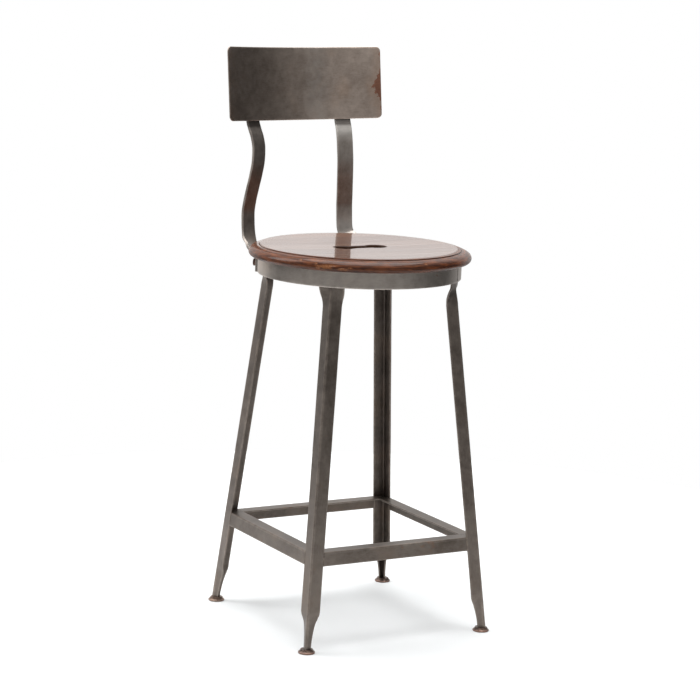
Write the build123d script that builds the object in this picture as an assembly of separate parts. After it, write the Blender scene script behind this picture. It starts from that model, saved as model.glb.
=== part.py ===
from build123d import *
import os
from math import sin, cos, tan, asin, atan2, sqrt, pi, radians, degrees

# Industrial bar stool: round wooden seat on a rolled steel ring, four splayed
# angle-iron legs tied by a square footrest, and a low curved backrest carried
# on two bent flat straps.  Millimetres, +Z up, -Y is the front of the leg square.
# The model is laid out about the seat axis and then moved so that the origin is
# the centre of the whole stool's footprint box, on the floor.

# ---------------------------------------------------------------- dimensions
# seat
seat_r = 203.0            # widest radius of the wooden seat
seat_top_z = 695.0        # sitting height
seat_bottom_z = 672.5
seat_flat_r = 183.5       # radius of the flat top inside the edge moulding
seat_step = 1.8           # small step between flat top and edge moulding
seat_under_r = 8.0        # rounding under the widest edge
seat_dish = 2.0           # how far the middle of the top is scooped below its rim
slot_len = 101.0          # hand slot, overall length along X
slot_lobe_r = 18.5        # round end of the hand slot
slot_neck_w = 24.0        # width between the round ends
# ring under the seat
ring_r = 185.6            # outside radius
ring_t = 4.0
ring_z0 = 642.5
ring_z1 = 672.5
# legs: 25 x 25 x 3 angle, corner outwards, splayed on the diagonals
angle_w = 25.0
angle_t = 3.0
leg_rho0 = 267.5          # corner radius at the floor
leg_slope = 85.0 / 650.0  # inward lean of the corner line per mm of height
leg_top_z = 668.0
pad_r = 15.1              # round foot pads
pad_h = 7.5
pad_centre = 256.9        # radius of the pad centres
# footrest, 25 x 25 x 3 angle
rest_top_z = 177.0
rest_h = 25.0
# back
back_turn = 8.4           # turn of the back about the seat axis, from the leg square
strap_w = 32.0
strap_t = 5.0
strap_gap = 4.0           # spacer between ring and strap
strap_ring_angle = 36.6   # bolt position either side of the back's centre line
strap_end_z = 635.0
bolt_z = 651.0
bolt_d = 8.0
strap_top_run = 102.0     # length of strap behind the backrest
strap_pitch = 104.0       # half spacing of the straps at the backrest
panel_chord = 351.6
panel_sag = 33.7
panel_h = 135.3
panel_t = 2.5
panel_corner_r = 9.0
panel_recline = 6.2
panel_mid_y = 209.0       # distance of the panel's lower middle behind the seat axis
panel_z = 905.8
panel_side = 3.0          # sideways offset of the panel on its straps

parts = {}


# ---------------------------------------------------------------- helpers
def poly_face(pts):
    return Face(Wire.make_polygon([Vector(*p) for p in pts], close=True))


def planar(a, b, c, d, tol=1e-5):
    ab, ac, ad = Vector(*b) - Vector(*a), Vector(*c) - Vector(*a), Vector(*d) - Vector(*a)
    n = ab.cross(ac)
    if n.length < 1e-9:
        return False
    return abs(n.normalized().dot(ad)) < tol


def tube_of_rings(rings):
    """Closed polyhedron through a list of equal-length point rings."""
    faces = [poly_face(rings[0]), poly_face(rings[-1])]
    n = len(rings[0])
    for k in range(len(rings) - 1):
        for i in range(n):
            j = (i + 1) % n
            a, b, c, d = rings[k][i], rings[k][j], rings[k + 1][j], rings[k + 1][i]
            if planar(a, b, c, d):
                faces.append(poly_face([a, b, c, d]))
            else:
                faces.append(poly_face([a, b, c]))
                faces.append(poly_face([a, c, d]))
    s = Solid(Shell(faces))
    if s.volume < 0:
        s = Solid(s.wrapped.Reversed())
    return s


def group(shapes):
    return Compound([s for x in shapes for s in x.solids()])


def turn(shape, deg):
    return shape.rotate(Axis.Z, deg)


def radial(az):
    return Vector(cos(radians(az)), sin(radians(az)), 0)


def rod(az, r0, r1, z, radius):
    """Cylinder along the horizontal radial direction az from r0 to r1."""
    d = radial(az)
    pl = Plane(origin=(d.X * r0, d.Y * r0, z), z_dir=(d.X, d.Y, 0))
    return pl * Cylinder(radius, r1 - r0, align=(Align.CENTER, Align.CENTER, Align.MIN))


# ---------------------------------------------------------------- wooden seat
def seat():
    zf = seat_top_z - seat_step
    with BuildPart() as p:
        with BuildSketch(Plane.XZ):
            with BuildLine():
                a = Line((0, seat_bottom_z), (seat_r - seat_under_r, seat_bottom_z))
                b = JernArc(a @ 1, (1, 0), seat_under_r, 90)
                zc = (b @ 1).Y
                x0, ra, rb, q = seat_flat_r + 1.0, seat_r - seat_flat_r - 1.0, zf - zc, 0.5523
                c = Bezier((seat_r, zc), (seat_r, zc + q * rb), (x0 + q * ra, zf), (x0, zf))
                d = Line(c @ 1, (seat_flat_r, zf))
                e = Line(d @ 1, (seat_flat_r, seat_top_z - 0.6))
                f = Line(e @ 1, (seat_flat_r - 0.6, seat_top_z))
                rd = ((f @ 1).X ** 2 + seat_dish ** 2) / (2 * seat_dish)
                xm = (f @ 1).X / 2
                g = ThreePointArc(f @ 1, (xm, seat_top_z - seat_dish + rd - sqrt(rd ** 2 - xm ** 2)),
                                  (0, seat_top_z - seat_dish))
                Line(g @ 1, (0, seat_bottom_z))
            make_face()
        revolve(axis=Axis.Z)
    body = p.part
    c = slot_len / 2 - slot_lobe_r
    h = seat_top_z - seat_bottom_z + 10
    neck = Pos(0, 0, seat_bottom_z - 5) * Box(2 * c, slot_neck_w, h, align=(Align.CENTER, Align.CENTER, Align.MIN))
    cut = neck
    for x in (-c, c):
        cut += Pos(x, 0, seat_bottom_z - 5) * Cylinder(slot_lobe_r, h, align=(Align.CENTER, Align.CENTER, Align.MIN))
    body = body - cut
    # pilot holes for the four seat screws
    for az in (0, 90, 180, 270):
        d = radial(az)
        body -= Pos(d.X * 162, d.Y * 162, seat_bottom_z - 1) * Cylinder(2.25, 17.2, align=(Align.CENTER, Align.CENTER, Align.MIN))
    return body


parts["wood_seat"] = seat()

# ---------------------------------------------------------------- seat ring
strap_az = {"left": 90 + back_turn + strap_ring_angle, "right": 90 + back_turn - strap_ring_angle}
ring = Pos(0, 0, ring_z0) * (
    Cylinder(ring_r, ring_z1 - ring_z0, align=(Align.CENTER, Align.CENTER, Align.MIN))
    - Cylinder(ring_r - ring_t, ring_z1 - ring_z0, align=(Align.CENTER, Align.CENTER, Align.MIN)))
for az in strap_az.values():
    ring -= rod(az, ring_r - 15, ring_r + 15, bolt_z, bolt_d / 2 + 0.25)
parts["seat_ring"] = ring


# ---------------------------------------------------------------- legs
def rho(z):
    return leg_rho0 - leg_slope * z


# height, half opening between flange and the inward diagonal, flange width, corner radius
leg_stations = [
    (pad_h, 22.0, 18.2, None),
    (22.0, 23.5, 18.6, None),
    (34.0, 25.5, 19.6, None),
    (50.0, 29.5, 22.0, None),
    (59.0, 36.0, 24.0, None),
    (67.0, 43.0, angle_w, None),
    (72.0, 45.0, angle_w, None),
    (606.0, 45.0, angle_w, None),
    (613.0, 47.5, 24.9, None),
    (620.0, 53.0, 24.7, 185.9),
    (627.0, 63.0, 24.3, 184.2),
    (635.0, 75.0, 23.9, 182.5),
    (641.5, 84.0, 23.6, 181.6),
    (646.0, 86.3, 23.5, ring_r - ring_t - 0.05),
    (leg_top_z, 86.3, 23.5, ring_r - ring_t - 0.05),
]


def leg_ring_points(z, a, w, r):
    a = radians(a)
    r = rho(z) if r is None else r
    n = (1 / sqrt(2), 1 / sqrt(2))
    s = (-1 / sqrt(2), 1 / sqrt(2))
    v = (n[0] * r, n[1] * r)

    def pt(dn, ds):
        return (v[0] + n[0] * dn + s[0] * ds, v[1] + n[1] * dn + s[1] * ds, z)
    t = angle_t
    return [
        pt(0, 0),
        pt(-w * cos(a), w * sin(a)),
        pt(-w * cos(a) - t * sin(a), w * sin(a) - t * cos(a)),
        pt(-t / sin(a), 0),
        pt(-w * cos(a) - t * sin(a), -w * sin(a) + t * cos(a)),
        pt(-w * cos(a), -w * sin(a)),
    ]


def leg_shape(drop):
    """One leg on the 45 degree diagonal. drop lowers the start of its flattened top."""
    return tube_of_rings([leg_ring_points(z - (drop if 600 < z < 645 else 0.0), a, w, r) for z, a, w, r in leg_stations])


leg45 = leg_shape(0.0)
flare_drop = {"front_right": 8.5}      # this leg was beaten flat further down than the others
corners = {"rear_right": 0, "rear_left": 90, "front_left": 180, "front_right": 270}
for name, ang in corners.items():
    leg = turn(leg_shape(flare_drop.get(name, 0.0)), ang)
    for az in strap_az.values():
        if abs(az - (45 + ang)) < 12:
            leg = leg - rod(az, 170, 190, bolt_z, bolt_d / 2 + 0.25)
    parts["leg_" + name] = leg


# ---------------------------------------------------------------- foot pads
def pad():
    with BuildPart() as p:
        with BuildSketch(Plane.XZ):
            with BuildLine():
                a = Line((0, 0), (pad_r - 0.8, 0))
                b = Line(a @ 1, (pad_r, 0.8))
                c = Line(b @ 1, (pad_r, 2.6))
                d = ThreePointArc(c @ 1, (12.7, 4.4), (10.9, pad_h))
                e = Line(d @ 1, (0, pad_h))
                Line(e @ 1, (0, 0))
            make_face()
        revolve(axis=Axis.Z)
    return p.part


one_pad = pad()
for name, ang in corners.items():
    d = radial(45 + ang)
    parts["foot_pad_" + name] = Pos(d.X * pad_centre, d.Y * pad_centre, 0) * one_pad


# ---------------------------------------------------------------- footrest bars
def half(z):
    return rho(z) / sqrt(2)


def rest_bar():
    z1, z0, t = rest_top_z, rest_top_z - rest_h, angle_t
    prof = [(half(z0), z0), (half(z1), z1), (half(z1) - angle_w, z1), (half(z1) - angle_w, z1 - t),
            (half(z1 - t) - t, z1 - t), (half(z0) - t, z0)]
    a = [(-220.0, y, z) for y, z in prof]
    b = [(220.0, y, z) for y, z in prof]
    bar = tube_of_rings([a, b])
    wedge = extrude(Pos(0, 0, z0 - 10) * make_face(Polyline((0, 0), (300, 300), (-300, 300), close=True)), rest_h + 20)
    bar = bar & wedge
    bar = bar - turn(leg45, 0) - turn(leg45, 90)
    return max(bar.solids(), key=lambda s: s.volume)


rear_bar = rest_bar()
for name, ang in {"rear": 0, "left": 90, "front": 180, "right": 270}.items():
    parts["footrest_bar_" + name] = turn(rear_bar, ang)

# ---------------------------------------------------------------- back, in its own frame:
# +X to the right seen from the front, +Y rearwards, turned by back_turn at the end
panel_R = (panel_chord ** 2 / 4 + panel_sag ** 2) / (2 * panel_sag)


def place_panel(shape):
    """From the panel's own frame (origin at its lower middle, front face) to the back's frame."""
    return Pos(panel_side, panel_mid_y, panel_z) * shape.rotate(Axis.X, -panel_recline)


def panel_point(x, y, z):
    c, s = cos(radians(panel_recline)), sin(radians(panel_recline))
    return (x + panel_side, panel_mid_y + y * c + z * s, panel_z + z * c - y * s)


shell = Cylinder(panel_R + panel_t, panel_h, align=(Align.CENTER, Align.CENTER, Align.MIN)) \
    - Cylinder(panel_R, panel_h, align=(Align.CENTER, Align.CENTER, Align.MIN))
shell = Pos(0, -panel_R, 0) * shell
outline = Plane.XZ * Pos(0, panel_h / 2) * RectangleRounded(panel_chord, panel_h, panel_corner_r)
window = Pos(0, 60, 0) * extrude(outline, amount=160)
panel_local = shell & window
panel_local = max(panel_local.solids(), key=lambda s: s.volume)
parts["backrest_panel"] = turn(place_panel(panel_local), back_turn)

# strap centre line: height, sideways, rearwards
# each strap clears the board's edge in its own curve
strap_start = {
    "right": [(676.0, 119.6, 171.5), (682.0, 117.6, 181.0), (690.0, 114.2, 191.0), (702.0, 112.9, 195.8), (720.0, 112.5, 197.3)],
    "left": [(676.0, 119.6, 171.5), (682.0, 118.4, 177.4), (690.0, 116.4, 184.4), (702.0, 114.4, 190.8), (720.0, 112.9, 195.4)],
}
strap_path = [
    (740.0, 111.8, 197.6),
    (760.0, 110.2, 195.6),
    (785.0, 107.0, 191.8),
    (810.0, 103.6, 187.8),
    (835.0, 100.9, 185.4),
    (858.0, 99.8, 186.6),
    (878.0, 100.9, 191.2),
    (893.0, 102.8, 197.4),
]


def strap(side):
    sg = 1 if side == "right" else -1
    b = radians(strap_ring_angle)
    r0 = ring_r + strap_gap + strap_t / 2
    # behind the panel the strap lies tangent to its convex rear face
    rel = sg * strap_pitch - panel_side
    Rc = panel_R + panel_t + strap_t / 2 + 0.02
    phi = asin(rel / Rc)
    lx, ly = Rc * sin(phi), Rc * cos(phi) - panel_R
    knots = [(strap_end_z, r0 * sin(b), r0 * cos(b)), (650.0, r0 * sin(b), r0 * cos(b)),
             (662.0, r0 * sin(b), r0 * cos(b))]
    knots += strap_start[side] + strap_path
    top = []
    for k in (0.0, 8.0, 20.0, strap_top_run):
        px, py, pz = panel_point(lx, ly, k)
        top.append((pz, sg * px, py))
    knots += top
    zs = [k[0] for k in knots]

    # smooth through the knots with a monotone cubic, densely sampled
    def sample(idx):
        h = [zs[i + 1] - zs[i] for i in range(len(zs) - 1)]
        f = [k[idx] for k in knots]
        dl = [(f[i + 1] - f[i]) / h[i] for i in range(len(h))]
        m = [dl[0]]
        for i in range(1, len(h)):
            if dl[i - 1] * dl[i] <= 0:
                m.append(0.0)
            else:
                w1, w2 = 2 * h[i] + h[i - 1], h[i] + 2 * h[i - 1]
                m.append((w1 + w2) / (w1 / dl[i - 1] + w2 / dl[i]))
        m.append(dl[-1])

        def ev(z):
            for i in range(len(h)):
                if z <= zs[i + 1] or i == len(h) - 1:
                    t = (z - zs[i]) / h[i]
                    return (f[i] * (1 + 2 * t) * (1 - t) ** 2 + m[i] * h[i] * t * (1 - t) ** 2
                            + f[i + 1] * t * t * (3 - 2 * t) + m[i + 1] * h[i] * t * t * (t - 1))
        return ev
    U, V = sample(1), sample(2)
    zz = [strap_end_z, 648.0, 660.7, 664.0, 667.0, 669.5, 672.0, 674.5, 677.0, 680.0, 682.5, 685.0, 687.5, 690.0, 692.5, 695.0,
          698.0, 702.0, 708.0, 715, 724, 734, 744, 754, 765, 777, 790, 803, 816, 828, 840, 851, 861, 870, 878, 886, 893, 900,
          top[0][0], top[1][0], top[2][0], top[3][0]]
    rings = []
    for z in zz:
        e = 1.2
        za, zb = max(z - e, zs[0]), min(z + e, zs[-1])
        T = Vector(sg * (U(zb) - U(za)), V(zb) - V(za), zb - za).normalized()
        q = min(max((z - 676.0) / 16.0, 0), 1)
        q = q * q * (3 - 2 * q)
        g = strap_ring_angle + (degrees(abs(phi)) - strap_ring_angle) * q
        g = radians(g)
        t = Vector(cos(g), -sg * sin(g), 0)             # across the strap
        n = t.cross(T).normalized()                     # through its thickness
        if n.Y > 0:
            n = n * -1
        t = T.cross(n).normalized()
        c = Vector(sg * U(z), V(z), z)
        hw, ht = strap_w / 2, strap_t / 2
        rings.append([tuple(c + t * (i * hw) + n * (j * ht)) for i, j in ((-1, -1), (1, -1), (1, 1), (-1, 1))])
    s = tube_of_rings(rings)
    s = turn(s, back_turn)
    return s - rod(strap_az[side], ring_r - 5, ring_r + 25, bolt_z, bolt_d / 2 + 0.25)


for side in ("left", "right"):
    parts["back_strap_" + side] = strap(side)


# ---------------------------------------------------------------- strap fasteners
def hexagon(az, r0, r1, z, flats):
    d = radial(az)
    pl = Plane(origin=(d.X * r0, d.Y * r0, z), x_dir=(-d.Y, d.X, 0), z_dir=(d.X, d.Y, 0))
    return pl * extrude(RegularPolygon(flats / 2 / cos(pi / 6), 6), r1 - r0)


bolts, nuts, washers, spacers = [], [], [], []
for side, az in strap_az.items():
    out = ring_r + strap_gap + strap_t
    head = hexagon(az, out, out + 8.0, bolt_z, 13.0)
    head = head & rod(az, out - 1, out + 9, bolt_z, 7.2)
    inner = 177.9 if side == "left" else ring_r - ring_t - 0.25
    bolts.append(head + rod(az, out - 28.0, out + 1, bolt_z, bolt_d / 2))
    washers.append(rod(az, inner - 1.6, inner, bolt_z, 8.0) - rod(az, inner - 3, inner + 1, bolt_z, bolt_d / 2 + 0.2))
    nuts.append(hexagon(az, inner - 8.1, inner - 1.6, bolt_z, 13.0) - rod(az, inner - 10, inner + 1, bolt_z, bolt_d / 2 + 0.02))
    spacers.append(rod(az, ring_r + 0.02, ring_r + strap_gap, bolt_z, 8.5) - rod(az, ring_r - 1, ring_r + 6, bolt_z, bolt_d / 2 + 0.25))
parts["strap_bolts"] = group(bolts)
parts["strap_nuts"] = group(nuts)
parts["strap_washers"] = group(washers)
parts["strap_spacers"] = group(spacers)

# ---------------------------------------------------------------- seat tabs and screws
tab_w, tab_t, tab_run, tab_drop = 25.0, 3.0, 32.0, 20.0
tab_r = sqrt((ring_r - ring_t) ** 2 - (tab_w / 2) ** 2) - 0.02
tab = Pos(tab_r - tab_run / 2, 0, seat_bottom_z - tab_t / 2) * Box(tab_run, tab_w, tab_t)
tab += Pos(tab_r - tab_t / 2, 0, seat_bottom_z - tab_drop / 2) * Box(tab_t, tab_w, tab_drop)
tab -= Pos(162, 0, seat_bottom_z - 10) * Cylinder(2.5, 20)
screws = []
screw = Pos(162, 0, seat_bottom_z - tab_t - 2.6) * Cylinder(4.5, 2.6, align=(Align.CENTER, Align.CENTER, Align.MIN))
screw += Pos(162, 0, seat_bottom_z - tab_t - 0.5) * Cylinder(2.2, tab_t + 0.5 + 13.0, align=(Align.CENTER, Align.CENTER, Align.MIN))
screw += Pos(162, 0, seat_bottom_z + 13.0) * Cone(2.2, 0.3, 3.0, align=(Align.CENTER, Align.CENTER, Align.MIN))
for name, az in {"right": 0, "rear": 90, "left": 180, "front": 270}.items():
    parts["seat_tab_" + name] = turn(tab, az)
    screws.append(turn(screw, az))
parts["seat_screws"] = group(screws)


# ---------------------------------------------------------------- welds
def fillet_bead(p0, p1, ex, ey, leg):
    """Triangular bead from p0 to p1 with its two legs along ex and ey."""
    r = []
    for p in (p0, p1):
        p = Vector(*p)
        r.append([tuple(p), tuple(p + ex * leg), tuple(p + ey * leg)])
    return tube_of_rings(r)


# legs to the inside of the ring, one bead down each edge of the flattened top
beads = []
st = leg_ring_points(*leg_stations[-1])
for (e_out, e_in) in ((st[1], st[2]), (st[5], st[4])):
    o = Vector(e_out[0], e_out[1], 0)
    side = (Vector(e_out[0], e_out[1], 0) - Vector(st[0][0], st[0][1], 0)).normalized()
    inw = (Vector(e_in[0], e_in[1], 0) - o).normalized()
    p0 = (o.X, o.Y, ring_z0 + 2.0)
    p1 = (o.X, o.Y, leg_top_z - 2.0)
    bead = fillet_bead(p0, p1, side * 1.0, inw * 1.0, 3.0)
    beads.append(bead)
ringcut = Pos(0, 0, ring_z0 - 5) * (Cylinder(ring_r + 20, 45, align=(Align.CENTER, Align.CENTER, Align.MIN))
                                   - Cylinder(ring_r - ring_t, 45, align=(Align.CENTER, Align.CENTER, Align.MIN)))
beads = [b - ringcut - leg45 for b in beads]
beads = [max(b.solids(), key=lambda s: s.volume) for b in beads]
parts["leg_ring_welds"] = group([turn(b, a) for a in (0, 90, 180, 270) for b in beads])

# footrest bars to the legs: a low bead over each butt seam on the outer face
seam = []
z0, z1 = rest_top_z - rest_h + 1.5, rest_top_z - 1.5
for sg in (-1, 1):
    r = []
    for z in (z0, z1):
        x, y = sg * (half(z) - angle_w), half(z)
        r.append([(x - 2.0, y, z), (x + 2.0, y, z), (x + 1.1, y + 0.9, z), (x - 1.1, y + 0.9, z)])
    seam.append(tube_of_rings(r))
parts["footrest_welds"] = group([turn(s, a) for a in (0, 90, 180, 270) for s in seam])

# straps to the rear of the panel: short beads down each strap edge
pb = []
panel_back = Pos(0, -panel_R, -5) * Cylinder(panel_R + panel_t, panel_h + 10, align=(Align.CENTER, Align.CENTER, Align.MIN))
for sg in (-1, 1):
    rel = sg * strap_pitch - panel_side
    phi = asin(rel / (panel_R + panel_t + strap_t / 2 + 0.02))
    n = Vector(sin(phi), cos(phi), 0)
    t = Vector(cos(phi), -sin(phi), 0)
    foot = Vector(0, -panel_R, 0) + n * (panel_R + panel_t + 0.02)
    for e in (-1, 1):
        for k0, k1 in ((14.0, 39.0), (66.0, 91.0)):
            q = foot + t * (e * (strap_w / 2 + 0.01))
            b = fillet_bead((q.X, q.Y, k0), (q.X, q.Y, k1), (t * e * 1.0 - n * 0.12), n * 1.0, 3.5)
            b = b - panel_back
            pb.append(turn(place_panel(max(b.solids(), key=lambda s: s.volume)), back_turn))
parts["backrest_welds"] = group(pb)

# ---------------------------------------------------------------- origin and export
lo = [1e9, 1e9, 1e9]
hi = [-1e9, -1e9, -1e9]
for s in parts.values():
    bb = s.bounding_box()
    for i, (a, b) in enumerate(((bb.min.X, bb.max.X), (bb.min.Y, bb.max.Y), (bb.min.Z, bb.max.Z))):
        lo[i], hi[i] = min(lo[i], a), max(hi[i], b)
shift_x, shift_y = -(lo[0] + hi[0]) / 2, -(lo[1] + hi[1]) / 2
print("box before shift", [round(v, 3) for v in lo], [round(v, 3) for v in hi])
print("shift", round(shift_x, 4), round(shift_y, 4), "size", [round(hi[i] - lo[i], 2) for i in range(3)])

os.makedirs("parts", exist_ok=True)
for name, s in parts.items():
    moved = Pos(shift_x, shift_y, 0) * s
    export_step(moved, "parts/" + name + ".step")
print(len(parts), "nodes")
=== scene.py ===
import math
from math import sin, cos, tan, asin, acos, atan2, sqrt, pi, radians, degrees

import bmesh
import bpy
import numpy as np
from mathutils import Matrix, Vector


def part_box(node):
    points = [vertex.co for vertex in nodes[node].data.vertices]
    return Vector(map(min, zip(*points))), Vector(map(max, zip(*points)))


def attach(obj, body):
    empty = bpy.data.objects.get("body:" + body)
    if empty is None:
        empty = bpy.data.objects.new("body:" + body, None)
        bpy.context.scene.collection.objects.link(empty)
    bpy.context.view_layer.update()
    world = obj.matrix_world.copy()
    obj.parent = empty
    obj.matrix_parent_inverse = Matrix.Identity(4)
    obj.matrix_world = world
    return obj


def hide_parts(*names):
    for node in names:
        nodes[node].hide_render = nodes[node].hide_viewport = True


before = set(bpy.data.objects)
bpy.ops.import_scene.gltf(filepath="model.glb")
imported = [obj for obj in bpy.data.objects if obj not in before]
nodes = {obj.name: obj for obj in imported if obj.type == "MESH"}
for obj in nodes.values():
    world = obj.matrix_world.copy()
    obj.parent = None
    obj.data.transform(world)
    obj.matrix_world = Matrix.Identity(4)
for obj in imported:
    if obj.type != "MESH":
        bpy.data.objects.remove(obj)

scene = bpy.context.scene
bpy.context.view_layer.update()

ring_lo, ring_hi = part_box("seat_ring")
SX = (ring_lo.x + ring_hi.x) / 2 * 1000.0      # seat axis in the row frame, mm
SY = (ring_lo.y + ring_hi.y) / 2 * 1000.0

# ------------------------------------------------------------------ sizes, mm, as in the CAD source
SEAT_R, SEAT_TOP, SEAT_BOT, FLAT_R, STEP, UNDER_R, DISH = 203.0, 695.0, 672.5, 183.5, 1.8, 8.0, 2.0
SLOT_LEN, LOBE_R, NECK_W = 101.0, 18.5, 24.0
RING_R, RING_T, RING_Z0, RING_Z1 = 185.6, 4.0, 642.5, 672.5
ANGLE_W, ANGLE_T, RHO0, SLOPE, LEG_TOP = 25.0, 3.0, 267.5, 85.0 / 650.0, 668.0
PAD_R, PAD_H, PAD_CENTRE = 15.1, 7.5, 256.9
REST_TOP, REST_H = 177.0, 25.0
BACK_TURN, STRAP_W, STRAP_T, STRAP_GAP, STRAP_ANG = 8.4, 32.0, 5.0, 4.0, 36.6
STRAP_END, BOLT_Z, STRAP_RUN, STRAP_PITCH = 635.0, 651.0, 102.0, 104.0
CHORD, SAG, PANEL_H, PANEL_T, CORNER_R, RECLINE = 351.6, 33.7, 135.3, 2.5, 9.0, 6.2
PANEL_Y, PANEL_Z, PANEL_SIDE = 209.0, 905.8, 3.0
STRAP_AZ = {"left": 90 + BACK_TURN + STRAP_ANG, "right": 90 + BACK_TURN - STRAP_ANG}
PANEL_RAD = (CHORD ** 2 / 4 + SAG ** 2) / (2 * SAG)
CORNERS = {"rear_right": 45.0, "rear_left": 135.0, "front_left": 225.0, "front_right": 315.0}


# ------------------------------------------------------------------ mesh helpers
def to_frame(p):
    """mm about the seat axis to metres in the row frame."""
    return ((p[0] + SX) * 0.001, (p[1] + SY) * 0.001, p[2] * 0.001)


def rot(p, deg):
    c, s = cos(radians(deg)), sin(radians(deg))
    return (p[0] * c - p[1] * s, p[0] * s + p[1] * c, p[2])


def make(name, verts, faces, mat, slot, replaces=(), attrs=None, sharp=38.0, weighted=True):
    me = bpy.data.meshes.new(name)
    me.from_pydata([to_frame(v) for v in verts], [], faces)
    me.update()
    for key, vals in (attrs or {}).items():
        a = me.attributes.new(key, "FLOAT", "POINT")
        a.data.foreach_set("value", np.asarray(vals, np.float32))
    bm = bmesh.new()
    bm.from_mesh(me)
    bmesh.ops.recalc_face_normals(bm, faces=bm.faces)
    bm.to_mesh(me)
    bm.free()
    me.polygons.foreach_set("use_smooth", [True] * len(me.polygons))
    me.set_sharp_from_angle(angle=radians(sharp))
    ob = bpy.data.objects.new(name, me)
    scene.collection.objects.link(ob)
    ob.data.materials.append(mat)
    if weighted:
        m = ob.modifiers.new("normals", "WEIGHTED_NORMAL")
        m.keep_sharp = True
    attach(ob, "root")
    if replaces:
        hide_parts(*replaces)
    return ob


class Build:
    """Collects several closed shells in one mesh."""

    def __init__(self):
        self.v, self.f, self.attr = [], [], {}

    def add(self, verts, faces, **attrs):
        o = len(self.v)
        self.v += [tuple(p) for p in verts]
        self.f += [tuple(i + o for i in f) for f in faces]
        for k in set(list(self.attr) + list(attrs)):
            have = self.attr.setdefault(k, [0.0] * o)
            vals = attrs.get(k)
            have += [float(x) for x in vals] if vals is not None else [0.0] * len(verts)

    def loft(self, rings, caps=True, **attrs):
        m, n = len(rings), len(rings[0])
        v = [p for r in rings for p in r]
        f = []
        for k in range(m - 1):
            for i in range(n):
                j = (i + 1) % n
                f.append((k * n + i, k * n + j, (k + 1) * n + j, (k + 1) * n + i))
        if caps:
            f.append(tuple(range(n))[::-1])
            f.append(tuple((m - 1) * n + i for i in range(n)))
        self.add(v, f, **attrs)

    def lathe(self, prof, centre, axis_az=None, z=0.0, n=64, wear=None):
        """Closed profile [(radius, along)] turned about Z at centre, or about the horizontal radial direction axis_az."""
        rings = []
        for k in range(n):
            t = 2 * pi * k / n
            r = []
            for rad, al in prof:
                if axis_az is None:
                    r.append((centre[0] + rad * cos(t), centre[1] + rad * sin(t), al))
                else:
                    a = radians(axis_az)
                    side = rad * cos(t)
                    r.append((al * cos(a) - side * sin(a), al * sin(a) + side * cos(a), z + rad * sin(t)))
            rings.append(r)
        m = len(prof)
        v = [p for r in rings for p in r]
        f = []
        for k in range(n):
            l = (k + 1) % n
            for i in range(m):
                j = (i + 1) % m
                f.append((k * m + i, k * m + j, l * m + j, l * m + i))
        self.add(v, f, **({"wear": list(wear) * n} if wear is not None else {}))

    def make(self, name, mat, slot, replaces=(), **kw):
        return make(name, self.v, self.f, mat, slot, replaces, self.attr, **kw)


def fillet2d(pts, rad, seg=4, flat=2.2):
    """Polygon with rounded corners and two extra points in each flat. Returns points and an edge-wear weight per point."""
    P = [np.array(p, float) for p in pts]
    n = len(P)
    area = sum(P[i][0] * P[(i + 1) % n][1] - P[(i + 1) % n][0] * P[i][1] for i in range(n))
    sgn = 1 if area > 0 else -1
    A, B, con = [], [], []
    for i in range(n):
        a, b = P[i - 1] - P[i], P[(i + 1) % n] - P[i]
        la, lb = np.linalg.norm(a), np.linalg.norm(b)
        a, b = a / la, b / lb
        ang = acos(max(-1, min(1, float(a @ b))))
        t = rad[i] / max(tan(ang / 2), 1e-6)
        t = max(min(t, 0.47 * min(la, lb)), 0.05)
        A.append(P[i] + a * t)
        B.append(P[i] + b * t)
        cross = (-a[0]) * b[1] - (-a[1]) * b[0]
        con.append(1.0 if cross * sgn > 0.05 else 0.0)
    out, wear = [], []
    for i in range(n):
        for k in range(seg + 1):
            s = k / seg
            out.append((1 - s) ** 2 * A[i] + 2 * s * (1 - s) * P[i] + s * s * B[i])
            wear.append(con[i])
        e = A[(i + 1) % n] - B[i]
        L = np.linalg.norm(e)
        d = min(flat, 0.32 * L)
        e = e / L
        out.append(B[i] + e * d)
        out.append(A[(i + 1) % n] - e * d)
        wear += [0.0, 0.0]
    return out, wear


def mono(xs, fs):
    """Monotone cubic through the knots, as the CAD source uses for the straps."""
    h = [xs[i + 1] - xs[i] for i in range(len(xs) - 1)]
    dl = [(fs[i + 1] - fs[i]) / h[i] for i in range(len(h))]
    m = [dl[0]]
    for i in range(1, len(h)):
        if dl[i - 1] * dl[i] <= 0:
            m.append(0.0)
        else:
            w1, w2 = 2 * h[i] + h[i - 1], h[i] + 2 * h[i - 1]
            m.append((w1 + w2) / (w1 / dl[i - 1] + w2 / dl[i]))
    m.append(dl[-1])

    def ev(z):
        for i in range(len(h)):
            if z <= xs[i + 1] or i == len(h) - 1:
                t = (z - xs[i]) / h[i]
                return (fs[i] * (1 + 2 * t) * (1 - t) ** 2 + m[i] * h[i] * t * (1 - t) ** 2
                        + fs[i + 1] * t * t * (3 - 2 * t) + m[i + 1] * h[i] * t * t * (t - 1))
    return ev


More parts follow.
